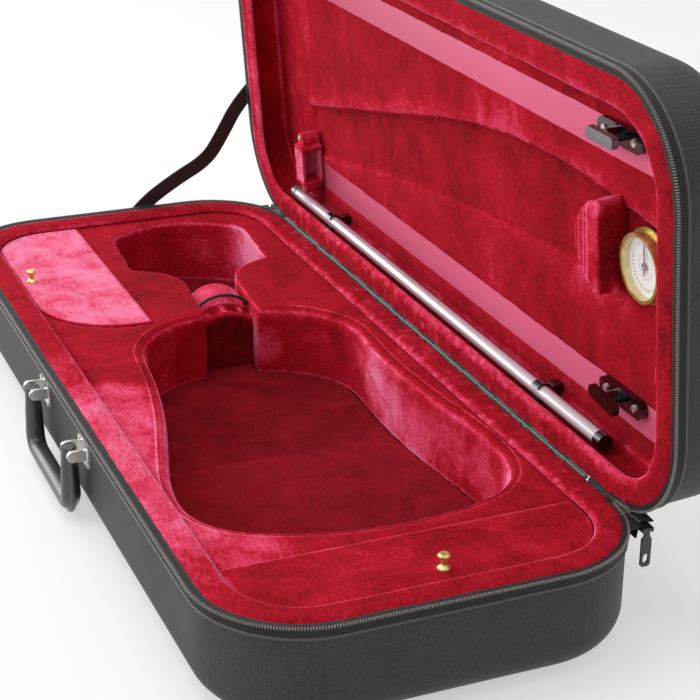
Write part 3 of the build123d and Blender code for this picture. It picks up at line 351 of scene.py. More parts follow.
# Zip, three sides round: a woven tape folded over the rim, a row of moulded teeth on its edge and a
# round piping sewn in below it. The hinge side has none, between the zip's two ends.
ZIP_END_X = LENGTH / 2 - 58 * MM
TAPE_T = 0.8 * MM
TAPE_LOW = -RIM_SET - 6.5 * MM
TAPE_TOP = -0.3 * MM
TAPE_LEDGE = 7.5 * MM
TAPE_SLOPE = 2.2 * MM
TOOTH_PITCH = 1.9 * MM
PIPING_R = 1.1 * MM
TAPE_DARK = "#100F0F"
TAPE_LIGHT = "#211F1F"
TAPE_THREAD_MM = 0.9
TOOTH_DARK = "#4E4C4A"
TOOTH_GREY = "#8A8784"
TOOTH_GRAIN_MM = 2 / 3
PIPING_DARK = "#2A2827"
PIPING_GREY = "#57534F"
PIPING_TWIST_MM = 1.2566


def rim_line(outset, height, steps=14):
    """Points round a half, from the hinge's left end, by the front, to its right end."""
    half_x = LENGTH / 2 + outset
    half_y = WIDTH / 2 + outset
    radius = CORNER_R + outset
    points = [(-ZIP_END_X, half_y)]
    for number, (side_x, side_y) in enumerate([(-1, 1), (-1, -1), (1, -1), (1, 1)]):
        centre = (side_x * (half_x - radius), side_y * (half_y - radius))
        start = math.pi / 2 * (number + 1)
        for step in range(steps + 1):
            angle = start + math.pi / 2 * step / steps
            points.append((centre[0] + radius * math.cos(angle), centre[1] + radius * math.sin(angle)))
    points.append((ZIP_END_X, half_y))
    return [Vector((x, y, height)) for x, y in points]


def line_curve(name, points, radius=0.0, sides=2):
    """A curve object through points, with a round section if it has a radius."""
    curve = bpy.data.curves.new(name, "CURVE")
    curve.dimensions = "3D"
    curve.twist_mode = "Z_UP"
    curve.bevel_depth = radius
    curve.bevel_resolution = sides
    curve.use_fill_caps = True
    spline = curve.splines.new("POLY")
    spline.points.add(len(points) - 1)
    for point, place in zip(spline.points, points):
        point.co = (*place, 1)
    return linked(name, curve)


def to_mesh(curve_object):
    """Turn a curve object into a mesh object of the same name."""
    alone(curve_object)
    bpy.ops.object.convert(target="MESH")
    return bpy.context.active_object


def bar(name, size, bevel, segments=2):
    """A small block with rounded edges, centred at the origin."""
    bpy.ops.object.select_all(action="DESELECT")
    bpy.ops.mesh.primitive_cube_add(size=1, scale=size)
    piece = bpy.context.active_object
    piece.name = name
    bpy.ops.object.transform_apply(location=False, rotation=False, scale=True)
    bpy.ops.object.mode_set(mode="EDIT")
    bpy.ops.mesh.select_all(action="SELECT")
    bpy.ops.mesh.bevel(offset=bevel, segments=segments, affect="EDGES")
    bpy.ops.object.mode_set(mode="OBJECT")
    return piece


def length_of(line):
    """The length of a line of points."""
    return sum((b - a).length for a, b in zip(line, line[1:]))


def along(piece, line, pitch):
    """Repeat a small piece along a line of points at an even pitch."""
    guide = line_curve("guide", line)
    apply_new(piece, "ARRAY", fit_type="FIXED_COUNT", count=int(length_of(line) / pitch),
              use_relative_offset=False, use_constant_offset=True,
              constant_offset_displace=(pitch, 0, 0))
    apply_new(piece, "CURVE", object=guide, deform_axis="POS_X")
    bpy.data.objects.remove(guide)
    return piece


def twisted_yarn(name, dark, light, twist_mm, inputs):
    """Twisted or braided yarn: slanting bands of a dark and a light tone, one for each turn."""
    material, tree, shader = principled(name, inputs)
    place = mapped(tree, twist_mm * 5 / math.pi)
    twist = add(tree, "TexWave", {"Vector": place, "Scale": 1.0}, bands_direction="DIAGONAL")
    ramp = add(tree, "ValToRGB", {0: twist.outputs["Fac"]})
    ramp.color_ramp.elements[0].color = srgb(dark)
    ramp.color_ramp.elements[1].color = srgb(light)
    tree.links.new(ramp.outputs[0], shader.inputs["Base Color"])
    return material


# Polyester zip tape is a closer, blacker weave than the cover's, and reads as a plain dark band.
zip_tape = woven_nylon("woven polyester zip tape", TAPE_DARK, TAPE_LIGHT, TAPE_THREAD_MM)

# Moulded nylon teeth are mid grey with a soft shine, so that their row breaks the light into dots.
tooth_nylon, tree, shader = principled("moulded nylon zip teeth", {"Roughness": 0.35})
grain = add(tree, "TexNoise", {"Vector": mapped(tree, TOOTH_GRAIN_MM), "Scale": 1.0, "Detail": 2.0})
ramp = add(tree, "ValToRGB", {0: grain.outputs["Fac"]})
ramp.color_ramp.elements[0].color = srgb(TOOTH_DARK)
ramp.color_ramp.elements[1].color = srgb(TOOTH_GREY)
tree.links.new(ramp.outputs[0], shader.inputs["Base Color"])

# Piping is a cord wrapped in grey cloth: matt, with a slanting twist, and paler than what it edges.
piping_cloth = twisted_yarn("grey woven piping cloth", PIPING_DARK, PIPING_GREY, PIPING_TWIST_MM,
                            {"Roughness": 0.6, "Sheen Weight": 0.2})

for half, (place, _) in HALF.items():
    tape = block(f"{half}_zip_tape_cloth", LENGTH / 2 + TAPE_T, WIDTH / 2 + TAPE_T, TAPE_LOW, TAPE_TOP)
    bpy.ops.object.mode_set(mode="EDIT")
    choose(tape, "FACE", lambda face: face.normal.z < -0.9)
    bpy.ops.mesh.delete(type="ONLY_FACE")
    choose(tape, "EDGE", upright)
    bpy.ops.mesh.bevel(offset=CORNER_R + TAPE_T, segments=CORNER_STEPS, affect="EDGES")
    choose(tape, "EDGE", lambda edge: middle(edge).z > TAPE_TOP - NEAR)
    bpy.ops.mesh.bevel(offset=0.7 * MM, segments=3, affect="EDGES")
    choose(tape, "FACE", lambda face: face.normal.z > 0.999 and face.calc_area() > LARGE_FACE)
    bpy.ops.mesh.inset(thickness=TAPE_LEDGE, depth=-TAPE_SLOPE)
    choose(tape, "FACE", lambda face: face.normal.z > 0.999 and face.calc_area() > LARGE_FACE)
    bpy.ops.mesh.delete(type="FACE")
    for side in (-1, 1):
        bpy.ops.mesh.select_all(action="SELECT")
        bpy.ops.mesh.bisect(plane_co=(side * ZIP_END_X, 0, 0), plane_no=(1, 0, 0))
    choose(tape, "FACE", lambda face: abs(face.calc_center_median().x) < ZIP_END_X
           and face.calc_center_median().y > 0)
    bpy.ops.mesh.delete(type="FACE")
    bpy.ops.object.mode_set(mode="OBJECT")
    apply_new(tape, "SOLIDIFY", thickness=TAPE_T, offset=-1)
    finish_piece(tape, half, place)
    tape.data.materials.append(zip_tape)
    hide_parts(f"{half}_zip_tape")

    tooth = bar(f"{half}_zip_tooth_row", (1.15 * MM, 2.3 * MM, 2.0 * MM), 0.35 * MM, 1)
    tooth = along(tooth, rim_line(TAPE_T + 0.4 * MM, TAPE_TOP - 1.0 * MM), TOOTH_PITCH)
    finish_piece(tooth, half, place)
    tooth.data.materials.append(tooth_nylon)
    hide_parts(f"{half}_zip_teeth")

    line = rim_line(0.5 * MM, TAPE_LOW - PIPING_R)
    piping = to_mesh(line_curve(f"{half}_sewn_piping", line, PIPING_R, 3))
    finish_piece(piping, half, place)
    piping.data.materials.append(piping_cloth)
    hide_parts(f"{half}_piping")


# Velvet: crimson cotton pile, glued over every padded part. Where a hand or a fold has laid the pile over
# it is painted pale pink, partly the pile's real lay and partly painted sheen, and it is painted lighter
# where it is seen edge-on, a painted sheen. Each piece holds two values at every point: how pale its pile
# is painted, painted highlights and shade included, and how many millimetres it lies from a rolled edge,
# which sets painted highlight and shadow lines.
VELVET_DEEP = "#43080D"
VELVET_RED = "#94111D"
VELVET_BRIGHT = "#B3162A"
VELVET_ROSE = "#DE4568"
VELVET_PINK = "#EF85AA"
VELVET_GLOW = "#FF5A86"
PILE_MM = 1.3
TUFT_MM = (8.0, 3.0, 3.0)
TUFT_TURN = (0.4, 0.2, 0.9)
CLOUD_MM = 34.0
NO_EDGE = 20.0
EDGE_SPAN = (-70.0, NO_EDGE)
# Painted light and shade of the pile at each distance from a rolled edge, in millimetres: a painted shadow
# and a painted highlight at the wall's foot, a painted highlight along the cavity's rim where the roll
# turns down, and a painted shadow and a painted highlight at the crease where the roll begins.
EDGE_LIGHT_AND_SHADE = [
    (-65, 0.50), (-62.8, 0.32), (-61.6, 0.68), (-60.6, 0.66), (-59, 0.5), (-22, 0.5),
    (-12, 0.46), (-5, 0.53), (-2.4, 0.69), (-0.4, 0.66), (1.6, 0.55), (6.0, 0.46),
    (8.6, 0.38), (9.5, 0.72), (10.3, 0.66), (12, 0.5),
]


def velvet(name, colours, nap_mm=0.8, shag=0.0):
    """Velvet in five colours, from pile seen end-on to pile laid flat and painted sheen, set by each
    point's pile, its painted sheen and shade, painted edge lines and a painted edge-on sheen, with clouds,
    tufts and fine pile.
    """
    material, tree, shader = principled(name, {
        "Roughness": 0.95, "Specular IOR Level": 0.05, "Sheen Weight": 0.12, "Sheen Roughness": 0.4,
        "Sheen Tint": srgb(VELVET_GLOW),
    })
    pile_sheen_and_shade = add(tree, "Attribute", attribute_name="pile_sheen_and_shade").outputs["Fac"]
    edge = add(tree, "Attribute", attribute_name="edge").outputs["Fac"]
    cloud = add(tree, "TexNoise", {"Vector": mapped(tree, CLOUD_MM), "Scale": 1.0,
                                   "Detail": 5.0, "Roughness": 0.6, "Distortion": 0.8})
    tuft = add(tree, "TexNoise", {"Vector": mapped(tree, TUFT_MM, TUFT_TURN), "Scale": 1.0,
                                  "Detail": 3.0, "Roughness": 0.65, "Distortion": 0.4})
    pile = add(tree, "TexNoise", {"Vector": mapped(tree, PILE_MM), "Scale": 1.0, "Detail": 1.0})
    swing = add(tree, "Math", {0: pile_sheen_and_shade, 1: 0.35, 2: 0.5}, operation="MULTIPLY_ADD")
    drift = add(tree, "Math", {0: cloud.outputs["Fac"], 1: 0.5}, operation="SUBTRACT")
    level = add(tree, "Math", {0: drift.outputs[0], 1: swing.outputs[0], 2: pile_sheen_and_shade},
                operation="MULTIPLY_ADD")
    level = add(tree, "Math", {0: tuft.outputs["Fac"], 1: 0.36 + shag, 2: level.outputs[0]},
                operation="MULTIPLY_ADD")
    level = add(tree, "Math", {0: pile.outputs["Fac"], 1: 0.4, 2: level.outputs[0]},
                operation="MULTIPLY_ADD")
    # Painted highlight and shadow lines, set by each point's distance from a rolled edge.
    span = add(tree, "MapRange", {0: edge, 1: EDGE_SPAN[0], 2: EDGE_SPAN[1]})
    edge_light = add(tree, "ValToRGB", {0: span.outputs[0]})
    marks = edge_light.color_ramp
    while len(marks.elements) < len(EDGE_LIGHT_AND_SHADE):
        marks.elements.new(0.5)
    for element, (distance, shade) in zip(marks.elements, EDGE_LIGHT_AND_SHADE):
        element.position = (distance - EDGE_SPAN[0]) / (EDGE_SPAN[1] - EDGE_SPAN[0])
        element.color = (shade, shade, shade, 1)
    edge_lit_level = add(tree, "Math", {0: edge_light.outputs[0], 1: 1.3, 2: level.outputs[0]},
                 operation="MULTIPLY_ADD")
    # Painted sheen: the colour is lightened where the surface is seen nearly edge-on.
    graze = add(tree, "LayerWeight", {"Blend": 0.5})
    edge_on_sheen = add(tree, "MapRange", {0: graze.outputs["Facing"], 1: 0.7, 2: 0.97, 3: 0.0, 4: 0.42},
               interpolation_type="SMOOTHSTEP")
    level = add(tree, "Math", {0: edge_lit_level.outputs[0], 1: edge_on_sheen.outputs[0]})
    level = add(tree, "Math", {0: level.outputs[0], 1: 1.03 + shag / 2}, operation="SUBTRACT")
    ramp = add(tree, "ValToRGB", {0: level.outputs[0]})
    for position in (0.3, 0.5, 0.74):
        ramp.color_ramp.elements.new(position)
    for element, colour in zip(ramp.color_ramp.elements, colours):
        element.color = srgb(colour)
    tree.links.new(ramp.outputs[0], shader.inputs["Base Color"])
    height = add(tree, "Math", {0: tuft.outputs["Fac"], 1: 1.0 + 2 * shag, 2: pile.outputs["Fac"]},
                 operation="MULTIPLY_ADD")
    bump = add(tree, "Bump", {"Height": height.outputs[0], "Strength": 0.5, "Distance": nap_mm * MM})
    tree.links.new(bump.outputs[0], shader.inputs["Normal"])
    return material


def solid_copy(node, name):
    """A copy of a plain solid, with no material."""
    piece = linked(name, frame["nodes"][node].data.copy())
    piece.data.materials.clear()
    return piece


def weld(piece, then=None):
    """Merge a mesh's doubled points, then run one more edit on all of it."""
    alone(piece)
    bpy.ops.object.mode_set(mode="EDIT")
    bpy.ops.mesh.select_all(action="SELECT")
    bpy.ops.mesh.remove_doubles(threshold=0.01 * MM)
    if then is not None:
        then()
    bpy.ops.object.mode_set(mode="OBJECT")


def soft_copy(node, name, voxel, relax):
    """A velvet piece in the space of its plain solid: its mesh copied, closed, remeshed and relaxed."""
    piece = solid_copy(node, name)
    weld(piece)
    apply_new(piece, "REMESH", mode="VOXEL", voxel_size=voxel)
    apply_new(piece, "SMOOTH", factor=0.5, iterations=relax)
    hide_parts(node)
    return piece


def points_of(piece):
    """A mesh's vertex places and normals as arrays."""
    count = len(piece.data.vertices)
    places = np.empty(count * 3)
    normals = np.empty(count * 3)
    piece.data.vertices.foreach_get("co", places)
    piece.data.vertices.foreach_get("normal", normals)
    return places.reshape(-1, 3), normals.reshape(-1, 3)


def move_points(piece, places):
    """Move a mesh's vertices to new places."""
    piece.data.vertices.foreach_set("co", places.ravel())
    piece.data.update()


def waves(places, size, seed):
    """Smooth noise from -1 to 1 at each place; size is the length of a wave."""
    shift = Vector((seed * 7.3, seed * 3.1, seed * 5.7))
    return np.array([noise.noise(Vector(p) / size + shift) for p in places])


def patches(places, spots):
    """The strongest of the soft round marks at each place: middle and radius in millimetres, strength."""
    lighter = np.zeros(len(places))
    darker = np.zeros(len(places))
    for middle_mm, radius, strength in spots:
        gap = np.linalg.norm(places - np.array(middle_mm) * MM, axis=1) / (radius * MM)
        mark = strength * np.exp(-gap**4)
        lighter = np.maximum(lighter, mark)
        darker = np.minimum(darker, mark)
    return lighter + darker


def plan_gap(places, rim):
    """Distance in plan, in millimetres, from each place to the nearest rim point."""
    tree_of_rim = KDTree(len(rim))
    for number, point in enumerate(rim):
        tree_of_rim.insert((point[0], point[1], 0), number)
    tree_of_rim.balance()
    return np.array([tree_of_rim.find((p[0], p[1], 0))[2] for p in places]) / MM


def oblong_gap(places, inset_x, inset_front, inset_back):
    """Millimetres outside an oblong set in from the case's outline, negative inside it."""
    half_x = LENGTH / 2 - inset_x
    low, high = -WIDTH / 2 + inset_front, WIDTH / 2 - inset_back
    radius = CORNER_R - inset_x
    across = np.abs(places[:, 0]) - half_x + radius
    up = np.abs(places[:, 1] - (low + high) / 2) - (high - low) / 2 + radius
    outside = np.hypot(np.maximum(across, 0), np.maximum(up, 0))
    return (outside + np.minimum(np.maximum(across, up), 0) - radius) / MM


def store_pile_sheen_and_shade(piece, pile_sheen_and_shade, edge=None):
    """Store how pale the pile is painted at each vertex, painted sheen and shade included, and its distance
    from a rolled edge.
    """
    edge = np.full(len(pile_sheen_and_shade), NO_EDGE) if edge is None else edge
    for name, values in (("pile_sheen_and_shade", np.clip(pile_sheen_and_shade, -0.4, 1.3)), ("edge", np.clip(edge, *EDGE_SPAN))):
        kept = piece.data.attributes.new(name, "FLOAT", "POINT")
        kept.data.foreach_set("value", values.astype(np.float32))


def finish_velvet(piece, body, material):
    """Give a velvet piece its material, smooth it and let it ride on its body."""
    piece.data.materials.append(material)
    finish_piece(piece, body, smooth=180)


# Cotton velvet has no shine: it is deep red where one looks into the pile and pink where it lies over, that
# pink partly painted sheen.
# The borders' pile stands longer and shaggier, and the cavity floor's is short and dull.
CRIMSON = (VELVET_DEEP, VELVET_RED, VELVET_BRIGHT, VELVET_ROSE, VELVET_PINK)
crimson_velvet = velvet("crimson cotton velvet", CRIMSON)
standing_velvet = velvet("crimson velvet with standing pile", CRIMSON, 2.0, 0.16)
FLOOR_RED = ("#33060A", "#75101A", "#8C1622", "#A0222F", "#B83A48")
short_velvet = velvet("short pile floor velvet", FLOOR_RED, 0.4)
# Distance from a rolled edge where the crease's painted highlight line lies; seams, sewn lines and the
# right pocket lid's edge are set there to carry it.
CREASE_HIGHLIGHT = 9.8


# Suspension block: moulded foam that fills the base round the viola's cavity and both pockets, with
# velvet glued over it. Its edge rolls over into the cavity, with a crease where the roll begins. The
# floor pad is the same foam, thinner, in a short pile cloth.
FIELD_Z = HINGE.z - 6 * MM
NECK_X = -0.112
# Soft round marks of painted sheen where the pile lies over, partly the pile's real lay, and of painted
# shade where the strength is negative: middle and radius in millimetres, and strength.
WALL_PILE_SHEEN_AND_SHADE = [
    ((-136, 68, 40), 24, 0.5), ((-20, 100, 56), 26, 0.3), ((8, 108, 46), 34, 0.42),
    ((38, 118, 34), 34, 0.4), ((79, 124, 28), 36, 0.3), ((130, 126, 40), 40, 0.16),
    ((200, 122, 42), 36, 0.2), ((250, 112, 48), 36, 0.28), ((-360, 100, 45), 36, -0.06),
    ((-365, 30, 45), 50, -0.1), ((-296, 118, 45), 48, 0.5), ((-250, 76, 45), 40, 0.42),
]
FIELD_PILE_SHEEN_AND_SHADE = [
    ((12, -112, 74), 24, 0.36), ((40, -118, 74), 36, 0.38), ((80, -122, 74), 44, 0.36),
    ((130, -130, 74), 52, 0.34), ((190, -135, 74), 54, 0.34), ((250, -128, 74), 50, 0.34),
    ((292, -106, 74), 36, 0.28), ((318, -80, 74), 22, 0.12),
    ((-90, -10, 74), 26, 0.06), ((-60, -80, 74), 24, 0.08), ((-383, 125, 74), 40, 0.1),
    ((-200, 0, 74), 60, -0.08), ((340, 128, 74), 40, -0.05), ((-340, -10, 74), 50, 0.05),
    ((-178, -36, 74), 30, -0.1), ((-220, 120, 74), 40, -0.05),
]
floor_pad = soft_copy("cavity_floor_pad", "cavity_floor_cloth", 2.4 * MM, 2)
places, normals = points_of(floor_pad)
cavity_rim = places[np.abs(normals[:, 2]) < 0.5]
# The floor pad's pile is painted lighter right of x = 50 mm, so that its left part shows a painted shade.
store_pile_sheen_and_shade(floor_pad, 0.32 + 0.1 * (places[:, 0] > 0.05))
move_points(floor_pad, places + normals * (0.25 * MM * waves(places, 30 * MM, 3))[:, None])
finish_velvet(floor_pad, "base", short_velvet)

suspension = soft_copy("suspension_block", "velvet_suspension_block", 2.6 * MM, 3)
places, normals = points_of(suspension)
gap = plan_gap(places, cavity_rim)
depth = np.maximum((FIELD_Z - places[:, 2]) / MM, 0)
edge = gap - depth
in_cavity = gap < 14 - 9 * np.clip((NECK_X - places[:, 0]) / (15 * MM), 0, 1)
edge = np.where(in_cavity & (places[:, 2] > 8 * MM), edge, NO_EDGE)
wall = np.abs(normals[:, 2]) < 0.5
# Painted light on the block: the walls are painted lighter than the field, and lighter again at the scroll
# end and where they face the hinge side, and the edge value draws painted highlight and shadow lines at the
# cavity's rim and at the crease.
amount = 0.35 + np.where(wall, 0.07 + patches(places, WALL_PILE_SHEEN_AND_SHADE), patches(places, FIELD_PILE_SHEEN_AND_SHADE))
amount += 0.12 * wall * (places[:, 0] < -0.2)
amount += 0.1 * wall * (normals[:, 1] > 0.2) * (places[:, 0] > NECK_X)
dip = 0.7 * MM * np.exp(-((edge - 9) / 1.6) ** 2) * (normals[:, 2] > 0.5)
puff = 0.35 * MM * waves(places, 22 * MM, 1) - 0.35 * MM
moved = places + normals * puff[:, None]
moved[:, 2] -= dip
store_pile_sheen_and_shade(suspension, amount, edge)
move_points(suspension, moved)
finish_velvet(suspension, "base", crimson_velvet)


# Border of each half: a padded velvet roll glued round inside the rim. It is crowned, leans out over
# the zip tape, and its pile stands up shaggy along the hinge. A seam runs where it meets the field, drawn
# as the crease's painted highlight line. Its pile is painted pale pink in patches, partly its real lay and
# partly painted sheen, with painted shade at one end.
BORDER_INNER = (27.2 * MM, 27.2 * MM, 21.2 * MM)
BORDER_OUTER = (7.2 * MM, 7.2 * MM, 1.2 * MM)
LEAN = 4.6 * MM
HINGE_LEAN = 2.9 * MM
KEEP_IN = 3.4
LEAN_FROM = np.array((0.332, 0.0785))
HINGE_HALF = 0.325
BORDER_PILE_SHEEN_AND_SHADE = {
    "base": [((-20, -140, 0), 50, 0.2), ((50, -140, 0), 60, 0.42), ((140, -140, 0), 75, 0.4),
             ((240, -142, 0), 70, 0.4), ((320, -135, 0), 44, 0.14), ((-383, 60, 0), 70, -0.1)],
    "lid": [((395, 60, 0), 50, 0.16), ((395, -20, 0), 40, 0.05), ((-395, 0, 0), 110, -0.08)],
}
SEAM_MM = {"base": 2.2, "lid": 4.2}

for half, (place, _) in HALF.items():
    border = soft_copy(f"{half}_rim_border", f"{half}_velvet_border", 1.8 * MM, 3)
    border.data.transform(place.inverted())
    places, normals = points_of(border)
    inside = oblong_gap(places, *BORDER_INNER)
    to_rim = -oblong_gap(places, *BORDER_OUTER)
    at_hinge = np.clip((places[:, 1] / MM - 128) / 8, 0, 1)
    top = np.clip((places[:, 2] / MM + 5.2) / 3.5, 0, 1)
    leaning = np.clip(1 - to_rim / 7, 0, 1) * top
    away = places[:, :2] - np.clip(places[:, :2], -LEAN_FROM, LEAN_FROM)
    away /= np.maximum(np.linalg.norm(away, axis=1), 1e-6)[:, None]
    moved = places.copy()
    by_hinge = at_hinge * (np.abs(places[:, 0]) < HINGE_HALF)
    room = np.clip(-oblong_gap(places, 0, 0, 0) - KEEP_IN, 0, LEAN / MM) * MM
    moved[:, :2] += away * (leaning * (room + (HINGE_LEAN - room) * by_hinge))[:, None]
    moved[:, 2] -= 1.1 * MM * leaning**2 + 1.6 * MM * np.clip(1 - inside / 5, 0, 1) ** 2 * top
    tufts = waves(places, 9 * MM, 5) * (0.2 + 0.8 * at_hinge)
    tufts += 0.6 * waves(places, 26 * MM, 4) * (1 - leaning)
    swell = np.where(normals[:, 2] > 0, np.minimum(tufts - 0.35, 0.2) * 0.9 * MM, 0)
    moved += normals * swell[:, None]
    shag = np.clip(waves(places, 7 * MM, 6), 0, 1) * at_hinge
    edge = CREASE_HIGHLIGHT + inside / SEAM_MM[half] + 2 * (inside < -0.5)
    store_pile_sheen_and_shade(border, 0.37 + 0.3 * shag + patches(places, BORDER_PILE_SHEEN_AND_SHADE[half]), edge)
    move_points(border, moved)
    border.data.transform(place)
    finish_velvet(border, half, standing_velvet)


# Lid lining: one moulded foam liner covered in velvet, with a shallow channel for the bridge and
# strings and two grooves for the bow strips.
LINING_PILE_SHEEN_AND_SHADE = [
    ((280, 60, -36), 40, 0.1), ((253, 49, -36), 46, 0.08), ((-240, 20, -30), 40, 0.12),
    ((50, 0, -30), 60, 0.05), ((330, -60, -36), 50, 0.1), ((-330, 90, -36), 80, -0.08),
    ((-100, -110, -36), 60, 0.1),
]
# The channel's two edges, in millimetres in the lid's own tub, where x runs the other way.
CHANNEL_LOW = [(322, 96), (250, 82), (185, 70), (120, 60), (51, 50), (-70, 35), (-189, 24), (-349, 28)]
CHANNEL_SINK = 3.4
CHANNEL_HIGH = [
    (322, 46), (51, -16), (0, -28), (-60, -39), (-120, -46), (-189, -49), (-250, -47), (-349, -36),
]


def line_gap(places, line):
    """Distance in plan, in millimetres, from each place to a line of points."""
    nearest = np.full(len(places), 1000.0)
    for start, end in zip(line, line[1:]):
        start, end = np.array(start), np.array(end)
        share = np.clip((places[:, :2] / MM - start) @ (end - start) / np.sum((end - start) ** 2), 0, 1)
        foot = start + share[:, None] * (end - start)
        nearest = np.minimum(nearest, np.linalg.norm(places[:, :2] / MM - foot, axis=1))
    return nearest


def line_height(places, line):
    """The line's y, in metres, at each place's x."""
    run = np.array(line[::-1]) * MM
    return np.interp(places[:, 0], run[:, 0], run[:, 1])


lining = soft_copy("lid_lining", "velvet_lid_lining", 2.6 * MM, 2)
in_tub = HALF["lid"][0]
lining.data.transform(in_tub.inverted())
places, normals = points_of(lining)
steep = 1 - np.clip(normals[:, 2], 0, 1)
# Painted light on the lining: pale pink painted sheen in patches, partly the pile's lay, a painted
# highlight where the surface slopes at about forty degrees, as on its rounded edges, and painted shade on
# its steep sides.
amount = 0.35 + patches(places, LINING_PILE_SHEEN_AND_SHADE) + 0.3 * np.exp(-((normals[:, 2] - 0.75) / 0.12) ** 2)
amount -= 0.05 * (steep > 0.9)
amount += 0.1 * waves(places * np.array((1, 0.5, 1)), 70 * MM, 13)
to_low, to_high = line_gap(places, CHANNEL_LOW), line_gap(places, CHANNEL_HIGH)
face_z = np.median(places[normals[:, 2] > 0.8, 2])
inside = (places[:, 0] > CHANNEL_LOW[-1][0] * MM) & (places[:, 0] < CHANNEL_LOW[0][0] * MM)
inside &= np.abs(places[:, 2] - face_z) < 6 * MM
low_y, high_y = line_height(places, CHANNEL_LOW), line_height(places, CHANNEL_HIGH)
sunken = inside & (places[:, 1] < low_y) & (places[:, 1] > high_y)
above = inside & (places[:, 1] <= high_y)
below = inside & (places[:, 1] >= low_y)
flat = normals[:, 2] > 0.5
# Painted shadow just inside the channel along its edges, most along the upper one, and a painted highlight
# outside each edge, most on the lip above the upper one.
amount += flat * sunken * (-0.2 * np.exp(-to_high / 14) - 0.05 * np.exp(-to_low / 20))
amount += flat * (above * 0.26 * np.exp(-to_high / 11) + below * 0.1 * np.exp(-to_low / 16))
pad_places = np.array([in_tub.inverted() @ v.co for v in frame["nodes"]["neck_pad"].data.vertices])
pad_low, pad_high = pad_places.min(axis=0), pad_places.max(axis=0)
beyond_pad = np.maximum(pad_low - places, 0) + np.maximum(places - pad_high, 0)
to_pad = np.hypot(beyond_pad[:, 0], beyond_pad[:, 1]) / MM
sunk = -np.abs(waves(places, 24 * MM, 7)) * 0.7
by_pad = np.clip(to_pad / 14 - 0.2, 0, 1)
sunk -= CHANNEL_SINK * sunken * np.exp(-to_high / 26) * np.clip(to_high / 5, 0, 1) * by_pad
sunk += above * np.exp(-(((to_high - 5) / 6) ** 2))
store_pile_sheen_and_shade(lining, amount)
move_points(lining, places + normals * (np.where(normals[:, 2] > 0.5, sunk, 0) * MM)[:, None])
lining.data.transform(in_tub)
finish_velvet(lining, "lid", crimson_velvet)


# Pocket lids: velvet over thin board, each sewn down along one edge as its hinge. The left one is painted
# pale pink, partly its pile laid flat and partly painted sheen, with a painted shade line round its edge.
# The right one has a painted bright line round it where the cloth turns under.
for name, level_of in (("left_pocket_lid", 0.88), ("right_pocket_lid", 0.34)):
    flap = soft_copy(name, f"velvet_{name}", 1.4 * MM, 2)
    places, normals = points_of(flap)
    sides = places[np.abs(normals[:, 2]) < 0.4]
    gap = plan_gap(places, sides)
    tone = level_of + 0.08 * (waves(places, 60 * MM, 12) > 0.15)
    if name == "left_pocket_lid":
        tone -= 0.42 * np.clip(1 - gap / 2.2, 0, 1)
    store_pile_sheen_and_shade(flap, tone, np.where(gap < 8, CREASE_HIGHLIGHT + gap / 1.8, NO_EDGE) if level_of < 0.5 else None)
    move_points(flap, places + normals * (0.2 * MM * waves(places, 18 * MM, 8))[:, None])
    finish_velvet(flap, name, crimson_velvet)


# Neck rest: a crowned velvet cushion across the neck slot, gathered and tufted in front of the elastic
# cord that crosses it.
REST_ROLL_X = -0.159
REST_HOLLOW_X = -0.148
REST_ROLL_UP = 6.5 * MM
REST_LIP_DOWN = 2.6 * MM
REST_HOLLOW_DOWN = 3.6 * MM
REST_GATHER = 2.2 * MM
rest = soft_copy("neck_rest", "velvet_neck_rest", 1.5 * MM, 3)
places, normals = points_of(rest)
low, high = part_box("neck_rest")
high_up = np.clip((places[:, 2] - low.z) / (high.z - low.z), 0, 1) ** 2
behind = np.clip((REST_ROLL_X - places[:, 0]) / (9 * MM), 0, 1)
behind = behind**2 * (3 - 2 * behind)
across = np.abs(places[:, 1] - (low.y + high.y) / 2) / ((high.y - low.y) / 2)
hollow = np.exp(-(((places[:, 0] - REST_HOLLOW_X) / (7 * MM)) ** 2))
hollow = hollow * np.clip(1.1 - across**4, 0, 1) * high_up
lip = np.clip((places[:, 0] - REST_HOLLOW_X) / (8 * MM) - 0.6, 0, 1)
gather = waves(places * np.array((0.9, 1.7, 0.45)), 9 * MM, 9)
crown = np.clip((normals[:, 2] - 0.25) / 0.5, 0, 1)
# Painted light on the rest: a painted highlight on the top of its roll and of its lip, lighter and darker
# tufts in the hollow that follow the gathers' bumps as painted highlight and shade, and painted shade on
# the faces turned to +x.
tone = 0.36 + 0.36 * crown * (places[:, 0] < REST_ROLL_X) + hollow * (0.12 + 0.9 * gather)
store_pile_sheen_and_shade(rest, tone + 0.22 * lip * crown - 0.24 * (normals[:, 0] > 0.6))
moved = places + normals * (REST_GATHER * gather * np.clip(hollow + 0.1, 0, 1))[:, None]
moved[:, 2] += high_up * (REST_ROLL_UP * behind - REST_LIP_DOWN * lip) - REST_HOLLOW_DOWN * hollow * crown
move_points(rest, moved)
finish_velvet(rest, "base", crimson_velvet)


# Neck cord: round braided elastic, held across the neck slot over the rest. It arches up between the
# rest's roll and its hollow, and its two ends go into the slot's walls.
CORD_R = 1.4 * MM
CORD_ROUTE = [
    (-159.2, 10.2, 63.5), (-158.7, 16.0, 71.0), (-157.2, 34.1, 75.6), (-155.7, 52.2, 71.0),
    (-155.2, 57.8, 63.5),
]
BRAID_MM = 1.2566


